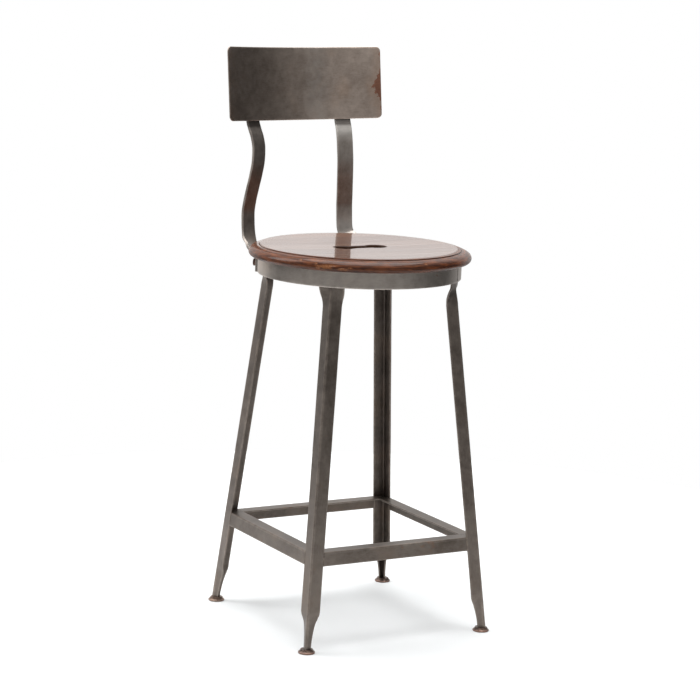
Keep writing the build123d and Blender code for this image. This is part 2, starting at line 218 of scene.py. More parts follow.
def bead(build, p0, p1, ew, eh, w, h, pitch=1.7, seed=0):
    """A rippled weld bead from p0 to p1: half width w along ew, height h along eh."""
    p0, p1, ew, eh = (np.array(x, float) for x in (p0, p1, ew, eh))
    L = np.linalg.norm(p1 - p0)
    d = (p1 - p0) / L
    rng = np.random.default_rng(seed + 11)
    n = max(10, int(L / 0.55))
    ph = rng.uniform(0, 6)
    rings = []
    for k in range(n + 1):
        s = k / n
        end = min(1.0, sqrt(max(1 - (abs(2 * s - 1)) ** 6, 0.0)) + 0.12)
        scallop = 0.5 + 0.5 * abs(sin(pi * s * L / pitch + ph))
        ww = w * end * (0.88 + 0.14 * scallop + 0.05 * rng.uniform(-1, 1))
        hh = h * end * (0.72 + 0.30 * scallop)
        c = p0 + d * (s * L)
        r = []
        for j in range(9):
            t = pi * j / 8
            bow = 0.45 * sin(t) * (1 if j not in (0, 8) else 0)
            r.append(tuple(c + ew * (ww * cos(t)) + eh * (hh * sin(t)) + d * bow))
        r.append(tuple(c - ew * (ww * 0.6) - eh * 0.5))
        r.append(tuple(c + ew * (ww * 0.6) - eh * 0.5))
        rings.append(r)
    build.loft(rings, wear=[0.3] * (len(rings) * 11))


# ------------------------------------------------------------------ material helpers
class Nodes:
    def __init__(self, name):
        self.m = bpy.data.materials.new(name)
        self.m.use_nodes = True
        self.t = self.m.node_tree
        self.t.nodes.clear()
        self.out = self.t.nodes.new("ShaderNodeOutputMaterial")
        self.b = self.t.nodes.new("ShaderNodeBsdfPrincipled")
        self.t.links.new(self.b.outputs[0], self.out.inputs[0])
        self.co = self.n("ShaderNodeTexCoord").outputs["Object"]

    def n(self, kind, **props):
        x = self.t.nodes.new(kind)
        for k, v in props.items():
            setattr(x, k, v)
        return x

    def link(self, a, b):
        self.t.links.new(a, b)

    def put(self, sock, val):
        if isinstance(val, bpy.types.NodeSocket):
            self.link(val, sock)
        else:
            sock.default_value = val

    def mapping(self, scale=(1, 1, 1), loc=(0, 0, 0), rotation=(0, 0, 0), vec=None):
        x = self.n("ShaderNodeMapping")
        x.inputs["Scale"].default_value = scale
        x.inputs["Location"].default_value = loc
        x.inputs["Rotation"].default_value = rotation
        self.link(vec or self.co, x.inputs["Vector"])
        return x.outputs[0]

    def noise(self, vec=None, scale=5.0, detail=4.0, rough=0.5, dist=0.0):
        x = self.n("ShaderNodeTexNoise")
        self.link(vec or self.co, x.inputs["Vector"])
        x.inputs["Scale"].default_value = scale
        x.inputs["Detail"].default_value = detail
        x.inputs["Roughness"].default_value = rough
        x.inputs["Distortion"].default_value = dist
        return x.outputs["Fac"]

    def ramp(self, fac, stops, interp="LINEAR"):
        x = self.n("ShaderNodeValToRGB")
        x.color_ramp.interpolation = interp
        e = x.color_ramp.elements
        while len(e) < len(stops):
            e.new(0.5)
        for el, (p, c) in zip(e, stops):
            el.position = p
            el.color = (c, c, c, 1) if isinstance(c, (int, float)) else (*c, 1)
        self.link(fac, x.inputs[0])
        return x.outputs[0]

    def mix(self, fac, a, b, blend="MIX"):
        x = self.n("ShaderNodeMix", data_type="RGBA", blend_type=blend)
        self.put(x.inputs[0], fac)
        for s, v in ((x.inputs[6], a), (x.inputs[7], b)):
            if isinstance(v, bpy.types.NodeSocket):
                self.link(v, s)
            else:
                s.default_value = (*v, 1) if len(v) == 3 else v
        return x.outputs[2]

    def math(self, op, a, b=0.0, c=0.0, clamp=False):
        x = self.n("ShaderNodeMath", operation=op, use_clamp=clamp)
        self.put(x.inputs[0], a)
        self.put(x.inputs[1], b)
        if op in ("MULTIPLY_ADD", "COMPARE", "SMOOTH_MIN", "SMOOTH_MAX"):
            self.put(x.inputs[2], c)
        return x.outputs[0]

    def maprange(self, v, a, b, c, d, smooth=False):
        x = self.n("ShaderNodeMapRange")
        if smooth:
            x.interpolation_type = "SMOOTHSTEP"
        self.put(x.inputs[0], v)
        for i, q in enumerate((a, b, c, d)):
            x.inputs[i + 1].default_value = q
        return x.outputs[0]

    def attr(self, name):
        return self.n("ShaderNodeAttribute", attribute_name=name, attribute_type="GEOMETRY").outputs["Fac"]

    def bump(self, height, strength, dist, normal=None):
        x = self.n("ShaderNodeBump")
        x.inputs["Strength"].default_value = strength
        x.inputs["Distance"].default_value = dist
        self.link(height, x.inputs["Height"])
        if normal is not None:
            self.link(normal, x.inputs["Normal"])
        return x.outputs[0]

    def sep(self, vec=None):
        x = self.n("ShaderNodeSeparateXYZ")
        self.link(vec or self.co, x.inputs[0])
        return x.outputs

    def dist_to(self, point, scale=(1, 1, 1)):
        m = self.n("ShaderNodeVectorMath", operation="SUBTRACT")
        self.link(self.co, m.inputs[0])
        m.inputs[1].default_value = point
        s = self.n("ShaderNodeVectorMath", operation="MULTIPLY")
        self.link(m.outputs[0], s.inputs[0])
        s.inputs[1].default_value = scale
        l = self.n("ShaderNodeVectorMath", operation="LENGTH")
        self.link(s.outputs[0], l.inputs[0])
        return l.outputs["Value"]


def steel(name, dark, light, rough=(0.34, 0.5), grain=(60, 60, 6), rust=0.62, rust_amount=0.5, bumps=0.25, cloud=9.0,
          metal=1.0, extra=None):
    """Lacquered bare steel: cloudy mill tint, drawn streaks, rub-bright edges, thin rust freckles."""
    g = Nodes(name)
    clouds = g.noise(scale=cloud, detail=5, rough=0.62, dist=0.4)
    mott = g.noise(g.mapping(loc=(3.1, 1.7, 0.4)), scale=cloud * 7, detail=6, rough=0.7)
    streak = g.noise(g.mapping(scale=grain), scale=9, detail=6, rough=0.72)
    fine = g.noise(scale=900, detail=3, rough=0.6)
    v = g.math("MULTIPLY_ADD", mott, 0.45, g.math("MULTIPLY", clouds, 0.75))
    v = g.math("MULTIPLY_ADD", streak, 0.35, v)
    fac = g.maprange(v, 0.50, 1.02, 0.0, 1.0, True)
    col = g.mix(fac, dark, light)
    # the inside of an angle keeps its dark mill scale
    inn = g.attr("inner")
    col = g.mix(g.math("MULTIPLY", inn, 0.42), col, g.mix(fac, (0.040, 0.033, 0.029), (0.105, 0.088, 0.076)))
    # rub-bright corners
    edge = g.attr("wear")
    rub = g.math("MULTIPLY", edge, g.maprange(mott, 0.38, 0.62, 0.35, 1.0), clamp=True)
    col = g.mix(g.math("MULTIPLY", rub, 0.45), col, tuple(min(1, c * 1.75) for c in light))
    # freckles and tints of rust
    rn = g.noise(g.mapping(loc=(7.3, 2.2, 5.1)), scale=34, detail=9, rough=0.74)
    rmask = g.maprange(rn, rust, rust + 0.10, 0.0, rust_amount, True)
    tint = g.maprange(g.noise(g.mapping(loc=(1.3, 8.2, 2.1)), scale=14, detail=4), 0.5, 0.75, 0.0, 0.35, True)
    col = g.mix(tint, col, (light[0] * 0.95, light[1] * 0.80, light[2] * 0.68))
    col = g.mix(rmask, col, (0.20, 0.095, 0.05))
    metal_v = g.maprange(rmask, 0.0, 1.0, metal, 0.25)
    r = g.maprange(g.math("MULTIPLY_ADD", streak, 0.5, g.math("MULTIPLY", mott, 0.5)), 0.35, 0.68, rough[0], rough[1])
    r = g.math("MULTIPLY_ADD", rmask, 0.25, r)
    r = g.math("MULTIPLY_ADD", inn, 0.10, r)
    if extra:
        col, metal_v, r = extra(g, col, metal_v, r)
    g.link(col, g.b.inputs["Base Color"])
    g.link(metal_v, g.b.inputs["Metallic"])
    g.link(r, g.b.inputs["Roughness"])
    n1 = g.bump(streak, 0.10 * bumps / 0.25, 0.0006)
    n2 = g.bump(mott, 0.22 * bumps / 0.25, 0.0008, n1)
    n3 = g.bump(fine, 0.05, 0.0002, n2)
    g.link(n3, g.b.inputs["Normal"])
    return g.m


def back_to_frame(p):
    return to_frame(rot(p, BACK_TURN))


def panel_point(x, y, z):
    c, s = cos(radians(RECLINE)), sin(radians(RECLINE))
    return (x + PANEL_SIDE, PANEL_Y + y * c + z * s, PANEL_Z + z * c - y * s)


def panel_surface(x, z):
    """Point of the panel's front face in the row frame, metres."""
    y = sqrt(PANEL_RAD ** 2 - x * x) - PANEL_RAD
    return back_to_frame(panel_point(x, y, z))


# ------------------------------------------------------------------ materials
frame_mat = steel("frame_steel_drawn", (0.098, 0.080, 0.068), (0.212, 0.180, 0.157))
def ring_painted_light(g, col, metal_v, r):
    # rolled band with painted highlight and shade: broad lighter and darker stretches along it, set by azimuth round
    # the ring
    x, y, z = g.sep()
    th = radians(119.8)
    x2 = g.math("MULTIPLY_ADD", x, cos(th), g.math("MULTIPLY", g.math("SUBTRACT", y, SY * 0.001), -sin(th)))
    y2 = g.math("MULTIPLY_ADD", x, sin(th), g.math("MULTIPLY", g.math("SUBTRACT", y, SY * 0.001), cos(th)))
    a = g.math("MULTIPLY_ADD", g.math("ARCTAN2", y2, x2), 1 / (2 * pi), 0.5)
    wob = g.noise(scale=30, detail=5, rough=0.65)
    a = g.math("MULTIPLY_ADD", g.math("SUBTRACT", wob, 0.5), 0.05, a)
    f = g.ramp(a, [(0.24, 0.62), (0.305, 0.90), (0.350, 0.40), (0.380, 0.36), (0.44, 0.82), (0.515, 0.66), (0.60, 0.52), (0.690, 0.50), (0.705, 0.72), (0.80, 0.62)], "B_SPLINE")
    v = g.n("ShaderNodeVectorMath", operation="SCALE")
    g.link(col, v.inputs[0])
    g.link(g.math("MULTIPLY", f, 1.55), v.inputs["Scale"])
    return v.outputs[0], metal_v, r


def strap_painted_light(g, col, metal_v, r):
    # painted highlight and shadow: the right strap is painted pale at both of its bends, and both straps are painted
    # dark close under the panel as its shadow
    x, y, z = g.sep()
    right_one = g.maprange(x, -0.01, 0.01, 0.0, 1.0)
    wob = g.math("MULTIPLY", g.math("SUBTRACT", g.noise(scale=60, detail=5, rough=0.65), 0.5), 0.016)
    zz = g.math("ADD", z, wob)
    low = g.math("MULTIPLY", g.maprange(zz, 0.704, 0.748, 1.0, 0.0, True), g.maprange(zz, 0.696, 0.706, 0.10, 0.30, True))
    top = g.math("MULTIPLY", g.maprange(zz, 0.862, 0.888, 0.0, 1.0, True), 0.42)
    strap_painted_highlight = g.math("MULTIPLY", g.math("MAXIMUM", low, top), right_one)
    col = g.mix(strap_painted_highlight, col, (0.72, 0.71, 0.68))
    # painted shadow close under the panel, on both straps
    strap_painted_shadow = g.math("MULTIPLY", g.maprange(z, 0.8925, 0.8985, 0.0, 0.80, True), g.maprange(z, 0.905, 0.925, 1.0, 0.0, True))
    col = g.mix(strap_painted_shadow, col, (0.055, 0.046, 0.040))
    return col, metal_v, r


ring_mat = steel("frame_steel_ring", (0.275, 0.241, 0.215), (0.480, 0.432, 0.394), grain=(8, 8, 90), cloud=7, extra=ring_painted_light)
strap_mat = steel("frame_steel_strap", (0.205, 0.178, 0.158), (0.400, 0.357, 0.324), rough=(0.30, 0.45), grain=(70, 70, 5), rust=0.66,
                  extra=strap_painted_light)
bar_mat = steel("frame_steel_footrest", (0.086, 0.070, 0.059), (0.200, 0.170, 0.148), grain=(14, 14, 60), rust=0.58)
inside_mat = steel("frame_steel_tabs", (0.150, 0.130, 0.115), (0.290, 0.255, 0.225), rust=0.55)


def panel_painted_light_and_stains(g, col, metal_v, r):
    # painted shade over the left half, painted reflection as a pale cloud right of the middle, worn copper-red patch at
    # the right edge
    u = g.attr("pu")
    w = g.attr("pw")
    n = g.noise(g.mapping(loc=(0.4, 0.1, 0.9)), scale=22, detail=8, rough=0.72, dist=0.6)
    n2 = g.noise(g.mapping(loc=(2.4, 5.1, 1.9)), scale=75, detail=7, rough=0.7)
    # painted shade and light: darker towards the left end, lighter towards the right, with cloudy variation
    shade = g.maprange(u, 0.0, 0.80, 0.70, 1.20, True)
    shade = g.math("ADD", shade, g.math("MULTIPLY", g.math("SUBTRACT", n, 0.5), 0.55))
    x = g.n("ShaderNodeVectorMath", operation="SCALE")
    g.link(col, x.inputs[0])
    g.link(shade, x.inputs["Scale"])
    col = x.outputs[0]
    # painted reflection: pale cloudy band
    d = g.math("ABSOLUTE", g.math("SUBTRACT", g.math("MULTIPLY_ADD", n, 0.16, u), 0.70))
    band = g.maprange(d, 0.0, 0.10, 0.38, 0.0, True)
    band = g.math("MULTIPLY", band, g.maprange(n2, 0.35, 0.65, 0.2, 1.0))
    col = g.mix(band, col, (0.52, 0.49, 0.46))
    # copper patch: closeness to the right edge with a ragged border, fading at its two ends
    ends = g.math("ABSOLUTE", g.math("SUBTRACT", w, 0.44))
    reach = g.maprange(ends, 0.02, 0.30, 0.046, -0.002)
    ragged = g.math("MULTIPLY", g.math("SUBTRACT", n2, 0.5), 0.10)
    lim = g.math("ADD", reach, ragged)
    patch = g.math("SUBTRACT", lim, g.math("SUBTRACT", 1.0, u))
    patch = g.maprange(patch, 0.0, 0.006, 0.0, 1.0, True)
    patch_col = g.mix(g.maprange(n2, 0.35, 0.65, 0, 1), (0.150, 0.060, 0.036), (0.26, 0.118, 0.072))
    # fainter orange stain around it and at the left edge
    halo = g.maprange(g.math("SUBTRACT", g.math("ADD", lim, 0.06), g.math("SUBTRACT", 1.0, u)), 0.0, 0.05, 0.0, 0.28, True)
    col = g.mix(halo, col, (0.42, 0.27, 0.19))
    left = g.maprange(u, 0.0, 0.10, 0.30, 0.0, True)
    left = g.math("MULTIPLY", left, g.maprange(n2, 0.42, 0.62, 0.0, 1.0))
    col = g.mix(left, col, (0.30, 0.20, 0.14))
    col = g.mix(patch, col, patch_col)
    metal_v = g.math("MULTIPLY", metal_v, g.maprange(patch, 0, 1, 1.0, 0.35))
    r = g.math("MULTIPLY_ADD", patch, 0.12, r)
    return col, metal_v, r


panel_mat = steel("panel_steel_sheet", (0.250, 0.200, 0.170), (0.455, 0.382, 0.333), rough=(0.30, 0.43), grain=(10, 10, 60),
                  rust=0.70, bumps=0.16, cloud=11, extra=panel_painted_light_and_stains)


def weld_material():
    g = Nodes("weld_bead")
    n = g.noise(scale=320, detail=5, rough=0.65)
    n2 = g.noise(scale=90, detail=4, rough=0.6)
    col = g.mix(g.maprange(n2, 0.4, 0.62, 0, 1), (0.10, 0.085, 0.075), (0.26, 0.215, 0.18))
    col = g.mix(g.maprange(n, 0.58, 0.7, 0, 0.6), col, (0.24, 0.10, 0.05))
    g.link(col, g.b.inputs["Base Color"])
    g.link(g.maprange(n, 0.55, 0.7, 1.0, 0.5), g.b.inputs["Metallic"])
    g.link(g.maprange(n2, 0.35, 0.65, 0.32, 0.55), g.b.inputs["Roughness"])
    g.link(g.bump(n, 0.35, 0.0004), g.b.inputs["Normal"])
    return g.m


def pad_material(name, dark, light, rim_col):
    g = Nodes(name)
    n = g.noise(scale=180, detail=8, rough=0.7)
    n2 = g.noise(scale=60, detail=5, rough=0.6, dist=0.5)
    z = g.sep()[2]
    fac = g.maprange(g.math("MULTIPLY_ADD", n2, 0.9, g.math("MULTIPLY", n, 0.4)), 0.52, 0.82, 0.0, 1.0, True)
    col = g.mix(fac, dark, light)
    rim = g.math("MULTIPLY", g.attr("wear"), g.maprange(n2, 0.35, 0.6, 0.3, 0.9))
    col = g.mix(rim, col, rim_col)
    low = g.maprange(z, 0.0, 0.003, 0.55, 0.0, True)
    col = g.mix(low, col, (0.10, 0.06, 0.04))
    g.link(col, g.b.inputs["Base Color"])
    g.link(g.maprange(fac, 0, 1, 0.55, 0.85), g.b.inputs["Metallic"])
    g.link(g.maprange(n, 0.35, 0.7, 0.22, 0.50), g.b.inputs["Roughness"])
    g.link(g.bump(n2, 0.5, 0.0016, g.bump(n, 0.3, 0.0006)), g.b.inputs["Normal"])
    return g.m


def hardware_material():
    g = Nodes("hardware_dark")
    n = g.noise(scale=210, detail=6, rough=0.65)
    n2 = g.noise(scale=700, detail=3)
    col = g.mix(g.maprange(n, 0.42, 0.66, 0, 1, True), (0.034, 0.018, 0.014), (0.105, 0.055, 0.043))
    col = g.mix(g.math("MULTIPLY", g.attr("wear"), 0.3), col, (0.24, 0.18, 0.15))
    g.link(col, g.b.inputs["Base Color"])
    g.link(g.maprange(n, 0.4, 0.7, 0.95, 0.6), g.b.inputs["Metallic"])
    g.link(g.maprange(n2, 0.35, 0.65, 0.34, 0.5), g.b.inputs["Roughness"])
    g.link(g.bump(n2, 0.12, 0.0003), g.b.inputs["Normal"])
    return g.m


def wood_material():
    g = Nodes("wood_walnut_boards")
    x, y, z = g.sep()
    # boards run along X and are about 66 mm wide
    by = g.math("MULTIPLY_ADD", y, 1 / 0.066, 0.37)
    board = g.math("FLOOR", by)
    within = g.math("FRACT", by)
    wn = g.n("ShaderNodeTexWhiteNoise", noise_dimensions="1D")
    g.link(board, wn.inputs["W"])
    tone = wn.outputs["Value"]
    # each board has its own stretch of grain
    shift = g.n("ShaderNodeCombineXYZ")
    g.link(g.math("MULTIPLY", tone, 3.7), shift.inputs[0])
    g.link(g.math("MULTIPLY", tone, 1.9), shift.inputs[1])
    g.link(g.math("MULTIPLY", tone, 2.3), shift.inputs[2])
    add = g.n("ShaderNodeVectorMath", operation="ADD")
    g.link(g.co, add.inputs[0])
    g.link(shift.outputs[0], add.inputs[1])
    co = add.outputs[0]
    warp = g.noise(g.mapping(scale=(2.2, 9, 9), vec=co), scale=1.6, detail=3, rough=0.5)
    figure = g.n("ShaderNodeTexWave", wave_type="BANDS", bands_direction="Y", wave_profile="SIN")
    g.link(g.mapping(scale=(0.16, 1, 1), vec=co), figure.inputs["Vector"])
    figure.inputs["Scale"].default_value = 34
    figure.inputs["Distortion"].default_value = 7.5
    figure.inputs["Detail"].default_value = 3.5
    figure.inputs["Detail Scale"].default_value = 1.1
    figure.inputs["Detail Roughness"].default_value = 0.6
    fib = g.noise(g.mapping(scale=(5, 210, 210), vec=co), scale=3.2, detail=5, rough=0.62)
    pore = g.noise(g.mapping(scale=(16, 900, 900), vec=co), scale=1.5, detail=4, rough=0.6)
    pores = g.maprange(pore, 0.57, 0.66, 0.0, 1.0, True)
    v = g.math("MULTIPLY_ADD", figure.outputs["Fac"], 0.26, g.math("MULTIPLY", fib, 0.58))
    v = g.math("MULTIPLY_ADD", warp, 0.30, v)
    v = g.math("MULTIPLY_ADD", tone, 0.16, v)
    col = g.ramp(v, [(0.30, (0.040, 0.0125, 0.0055)), (0.48, (0.090, 0.0290, 0.0120)), (0.66, (0.155, 0.0540, 0.0215)),
                     (0.90, (0.230, 0.0900, 0.0380))])
    col = g.mix(g.math("MULTIPLY", pores, 0.6), col, (0.022, 0.0095, 0.006))
    joint = g.math("ABSOLUTE", g.math("SUBTRACT", within, 0.5))
    gap = g.maprange(joint, 0.4915, 0.4975, 0.0, 1.0, True)
    col = g.mix(g.math("MULTIPLY", gap, 0.75), col, (0.016, 0.007, 0.004))
    # rubbed-through colour on the moulding, raw orange wood in the chips
    rad = g.math("SQRT", g.math("ADD", g.math("POWER", x, 2.0), g.math("POWER", y, 2.0)))
    edge_v = g.n("ShaderNodeCombineXYZ")
    g.link(g.math("MULTIPLY", g.math("ARCTAN2", y, x), 1.5), edge_v.inputs[0])
    g.link(g.math("MULTIPLY", z, 62.0), edge_v.inputs[1])
    g.link(g.math("MULTIPLY", rad, 62.0), edge_v.inputs[2])
    long_n = g.noise(edge_v.outputs[0], scale=4.2, detail=6, rough=0.6, dist=0.3)
    on_rim = g.maprange(rad, 0.1835, 0.1850, 0.0, 1.0)
    rim_col = g.ramp(long_n, [(0.34, (0.022, 0.0056, 0.0020)), (0.46, (0.060, 0.0142, 0.0042)), (0.57, (0.132, 0.0345, 0.0090)),
                              (0.72, (0.235, 0.0720, 0.0195))])
    col = g.mix(g.math("MULTIPLY", on_rim, 0.88), col, rim_col)
    rubn = g.noise(scale=55, detail=6, rough=0.7)
    rub = g.math("MULTIPLY", g.attr("wear"), g.maprange(rubn, 0.42, 0.62, 0.0, 1.0, True))
    col = g.mix(g.math("MULTIPLY", rub, 0.22), col, (0.22, 0.090, 0.038))
    chip = g.attr("chip")
    chipn = g.noise(g.mapping(scale=(20, 160, 160), vec=co), scale=4, detail=4)
    col = g.mix(chip, col, g.mix(g.maprange(chipn, 0.35, 0.65, 0, 1), (0.150, 0.046, 0.015), (0.36, 0.150, 0.062)))
    # painted shade: the hand slot's walls, the step under the top's edge and the underside of the board are painted
    # dark from a per-vertex weight, and the coat is taken off there
    painted_shade = g.attr("painted_shade")
    col = g.mix(painted_shade, col, (0.016, 0.008, 0.005))
    g.link(col, g.b.inputs["Base Color"])
    g.link(g.math("MULTIPLY_ADD", chip, 0.25, g.maprange(fib, 0.3, 0.7, 0.34, 0.5)), g.b.inputs["Roughness"])
    # the lacquer on the flat is a little thinner over the grain and along the board joints
    worn = g.noise(g.mapping(scale=(2.0, 46, 46), vec=co), scale=2.4, detail=5, rough=0.65)
    thin = g.math("MULTIPLY_ADD", gap, -0.22, g.maprange(g.math("MULTIPLY_ADD", tone, 0.22, worn), 0.40, 0.70, 0.90, 1.0))
    g.link(g.math("MULTIPLY", g.math("MULTIPLY", g.math("MULTIPLY_ADD", on_rim, -0.62, 1.0), thin), g.math("MULTIPLY_ADD", g.attr("painted_shade"), -1.0, 1.0, clamp=True)), g.b.inputs["Coat Weight"])
    b = g.b
    b.inputs["Specular IOR Level"].default_value = 0.12
    b.inputs["Coat Roughness"].default_value = 0.06
    b.inputs["Coat IOR"].default_value = 1.5
    h = g.math("MULTIPLY_ADD", fib, 0.6, g.math("MULTIPLY", figure.outputs["Fac"], 0.15))
    h = g.math("SUBTRACT", h, g.math("MULTIPLY", gap, 1.2))
    n1 = g.bump(h, 0.16, 0.00025)
    n2 = g.bump(pores, 0.15, 0.00010, n1)
    n2.node.invert = True
    long_wave = g.noise(g.mapping(scale=(1.2, 20, 20)), scale=3.0, detail=2)
    n3 = g.bump(long_wave, 0.35, 0.0006, n2)
    g.link(n3, b.inputs["Normal"])
    soft = g.bump(h, 0.12, 0.00025)
    soft = g.bump(long_wave, 0.35, 0.0006, soft)
    g.link(soft, b.inputs["Coat Normal"])
    return g.m


weld_mat, hw_mat, wood_mat = weld_material(), hardware_material(), wood_material()
pad_dark = pad_material("pad_steel_brown", (0.040, 0.026, 0.021), (0.19, 0.130, 0.105), (0.34, 0.205, 0.160))
pad_tan = pad_material("pad_steel_tan", (0.100, 0.064, 0.046), (0.30, 0.205, 0.160), (0.44, 0.315, 0.250))


# ------------------------------------------------------------------ wooden seat
def build_seat():
    N = 720
    c = SLOT_LEN / 2 - LOBE_R
    a_end = pi - asin(NECK_W / 2 / LOBE_R)
    x_j = c + LOBE_R * cos(a_end)
    phis = [2 * pi * i / N for i in range(N)]
    slot, snorm = [], []
    for p in phis:
        d = degrees(p)
        d = (d + 180) % 360 - 180
        if abs(d) <= 75:
            a = radians(d) * degrees(a_end) / 75
            slot.append((c + LOBE_R * cos(a), LOBE_R * sin(a)))
            snorm.append((cos(a), sin(a)))
        elif abs(d) >= 105:
            dd = (180 - abs(d)) * (1 if d > 0 else -1)
            a = radians(dd) * degrees(a_end) / 75
            slot.append((-c - LOBE_R * cos(a), LOBE_R * sin(a)))
            snorm.append((-cos(a), sin(a)))
        else:
            s = (abs(d) - 75) / 30
            sg = 1 if d > 0 else -1
            slot.append((x_j * (1 - 2 * s), sg * NECK_W / 2))
            snorm.append((0.0, float(sg)))
    slot, snorm = np.array(slot), np.array(snorm)
    # soften the four inner corners where the neck meets the lobes
    for _ in range(10):
        snorm = snorm + 0.5 * (np.roll(snorm, 1, 0) + np.roll(snorm, -1, 0) - 2 * snorm)
    snorm /= np.linalg.norm(snorm, axis=1)[:, None]
    circ = np.array([(cos(p), sin(p)) for p in phis])
    rd = ((FLAT_R - 0.6) ** 2 + DISH ** 2) / (2 * DISH)

    def dish_z(r):
        return SEAT_TOP - DISH + rd - np.sqrt(rd ** 2 - np.minimum(r, FLAT_R) ** 2)

    rows, wear, painted_shade = [], [], []

    # each row carries an edge-wear weight w and a painted-shade weight d; the shade is painted on the hand slot's
    # walls, the step under the top's edge and the underside
    def row(xy, z, w=0.0, d=0.0):
        z = np.full(N, z) if np.isscalar(z) else z
        rows.append(np.column_stack([xy, z]))
        wear.append(np.full(N, w))
        painted_shade.append(np.full(N, d))

    lip = 3.0
    for z, d in ((SEAT_BOT + 0.8, 0.7), (SEAT_BOT + 6, 0.75), (SEAT_BOT + 12, 0.8), (SEAT_BOT + 16, 0.8)):
        row(slot, z, 0.0, d)
    base = slot
    for k in range(6):
        t = radians(90 * k / 5)
        xy = base + snorm * (lip * (1 - cos(t)))
        z = dish_z(np.linalg.norm(xy, axis=1)) - lip + lip * sin(t)
        row(xy, z, 0.2 * sin(2 * t), 0.85 if k < 5 else 0.3)
    L = base + snorm * lip
    C = circ * (FLAT_R - 0.6)
    M = 46
    for k in range(1, M + 1):
        s = (k / M) ** 1.25
        xy = L * (1 - s) + C * s
        row(xy, dish_z(np.linalg.norm(xy, axis=1)), 0.0 if k < M - 1 else 0.25)

    def circ_row(r, z, w=0.0, d=0.0):
        row(circ * r, z, w, d)
    zf = SEAT_TOP - STEP
    circ_row(FLAT_R - 0.18, SEAT_TOP - 0.18, 0.7)
    circ_row(FLAT_R, SEAT_TOP - 0.6, 0.5)
    # painted shade in the step under the top's edge
    circ_row(FLAT_R + 0.02, zf + 0.3, 0.0, 0.8)
    circ_row(FLAT_R + 0.3, zf, 0.0, 0.9)
    circ_row(FLAT_R + 1.0, zf, 0.0, 0.55)
    x0, ra, zc = FLAT_R + 1.0, SEAT_R - 0.07 - FLAT_R - 1.0, SEAT_BOT + UNDER_R
    rb = zf - zc
    K = 22
    for k in range(1, K + 1):
        t = radians(90 * k / K)
        w = 0.15 + 0.85 * max(0.0, 1 - abs(degrees(t) - 42) / 40)
        circ_row(x0 + ra * sin(t), zc + rb * cos(t), w)
    for k in range(1, 9):
        t = radians(90 * k / 8)
        circ_row(SEAT_R - 0.07 - UNDER_R + UNDER_R * cos(t), SEAT_BOT + UNDER_R - UNDER_R * sin(t), 0.1 if k < 3 else 0.0, 0.05 * k)
    circ_row(188.0, SEAT_BOT, 0, 0.5)
    Cb = circ * 184.0
    Lb = base + snorm * 0.8
    for k in range(11):
        s = 1 - (k / 10) ** 0.9
        row(Lb * (1 - s) + Cb * s, SEAT_BOT, 0, 0.5)
    V = np.array(rows)                           # rows x N x 3
    W, D = np.array(wear), np.array(painted_shade)
    chip = np.zeros(W.shape)
    # small knocks on the moulding: azimuth, height, half length and half height in mm, depth
    chips = [(-136.6, 681.6, 13.0, 3.6, 0.9), (-140.4, 678.4, 4.6, 1.8, 0.8), (-133.0, 684.6, 8.0, 1.6, 0.7), (-128.0, 678.6, 8.5, 1.9, 0.7),
             (-141.8, 685.2, 2.4, 1.4, 0.7), (-124.2, 681.6, 4.0, 1.5, 0.6), (-151.0, 688.5, 3.0, 1.1, 0.4),
             (-84.0, 688.0, 3.2, 1.1, 0.4), (-28.0, 686.0, 4.0, 2.0, 0.8), (22.0, 687.0, 3.6, 2.0, 0.7),
             (71.0, 684.0, 4.2, 2.2, 0.8), (143.0, 686.0, 3.4, 1.6, 0.6)]
    R = np.hypot(V[..., 0], V[..., 1])
    AZ = np.degrees(np.arctan2(V[..., 1], V[..., 0]))
    rim = (R > 186.0) & (V[..., 2] > 674)
    rng = np.random.default_rng(5)
    for az, z, hl, hh, dep in chips:
        da = (AZ - az + 180) % 360 - 180
        du = np.radians(da) * R / hl
        dz = (V[..., 2] - z) / hh
        ph = rng.uniform(0, 6.28, 4)
        th = np.arctan2(dz, du)
        rag = 1 + 0.22 * np.sin(3 * th + ph[0]) + 0.16 * np.sin(5 * th + ph[1]) + 0.10 * np.sin(8 * th + ph[2])
        q = np.clip(1.25 - np.hypot(du, dz) / rag, 0, 1) * rim
        q = np.clip(q * 1.8, 0, 1)
        q = q * q * (3 - 2 * q)
        chip = np.maximum(chip, q)
        inward = np.stack([-V[..., 0] / R, -V[..., 1] / R, -0.45 * np.ones_like(R)], -1)
        V = V + inward * (q * dep)[..., None]
    # worn, hand-finished surface: slow unevenness of the moulding
    slow = 0.18 * np.sin(np.radians(AZ) * 7 + 0.6) + 0.12 * np.sin(np.radians(AZ) * 13 + 2.0) + 0.07 * np.sin(np.radians(AZ) * 29 + 1.0)
    V[..., 2] += np.where(rim & (V[..., 2] > 681), slow * 0.9 - 0.25, 0)
    m = len(rows)
    f = []
    for k in range(m):
        l = (k + 1) % m
        for i in range(N):
            j = (i + 1) % N
            f.append((k * N + i, k * N + j, l * N + j, l * N + i))
    make("seat_board", [tuple(p) for p in V.reshape(-1, 3)], f, wood_mat, "wood", ("wood_seat",),
         {"wear": W.ravel(), "painted_shade": D.ravel(), "chip": chip.ravel()}, sharp=60, weighted=False)


build_seat()


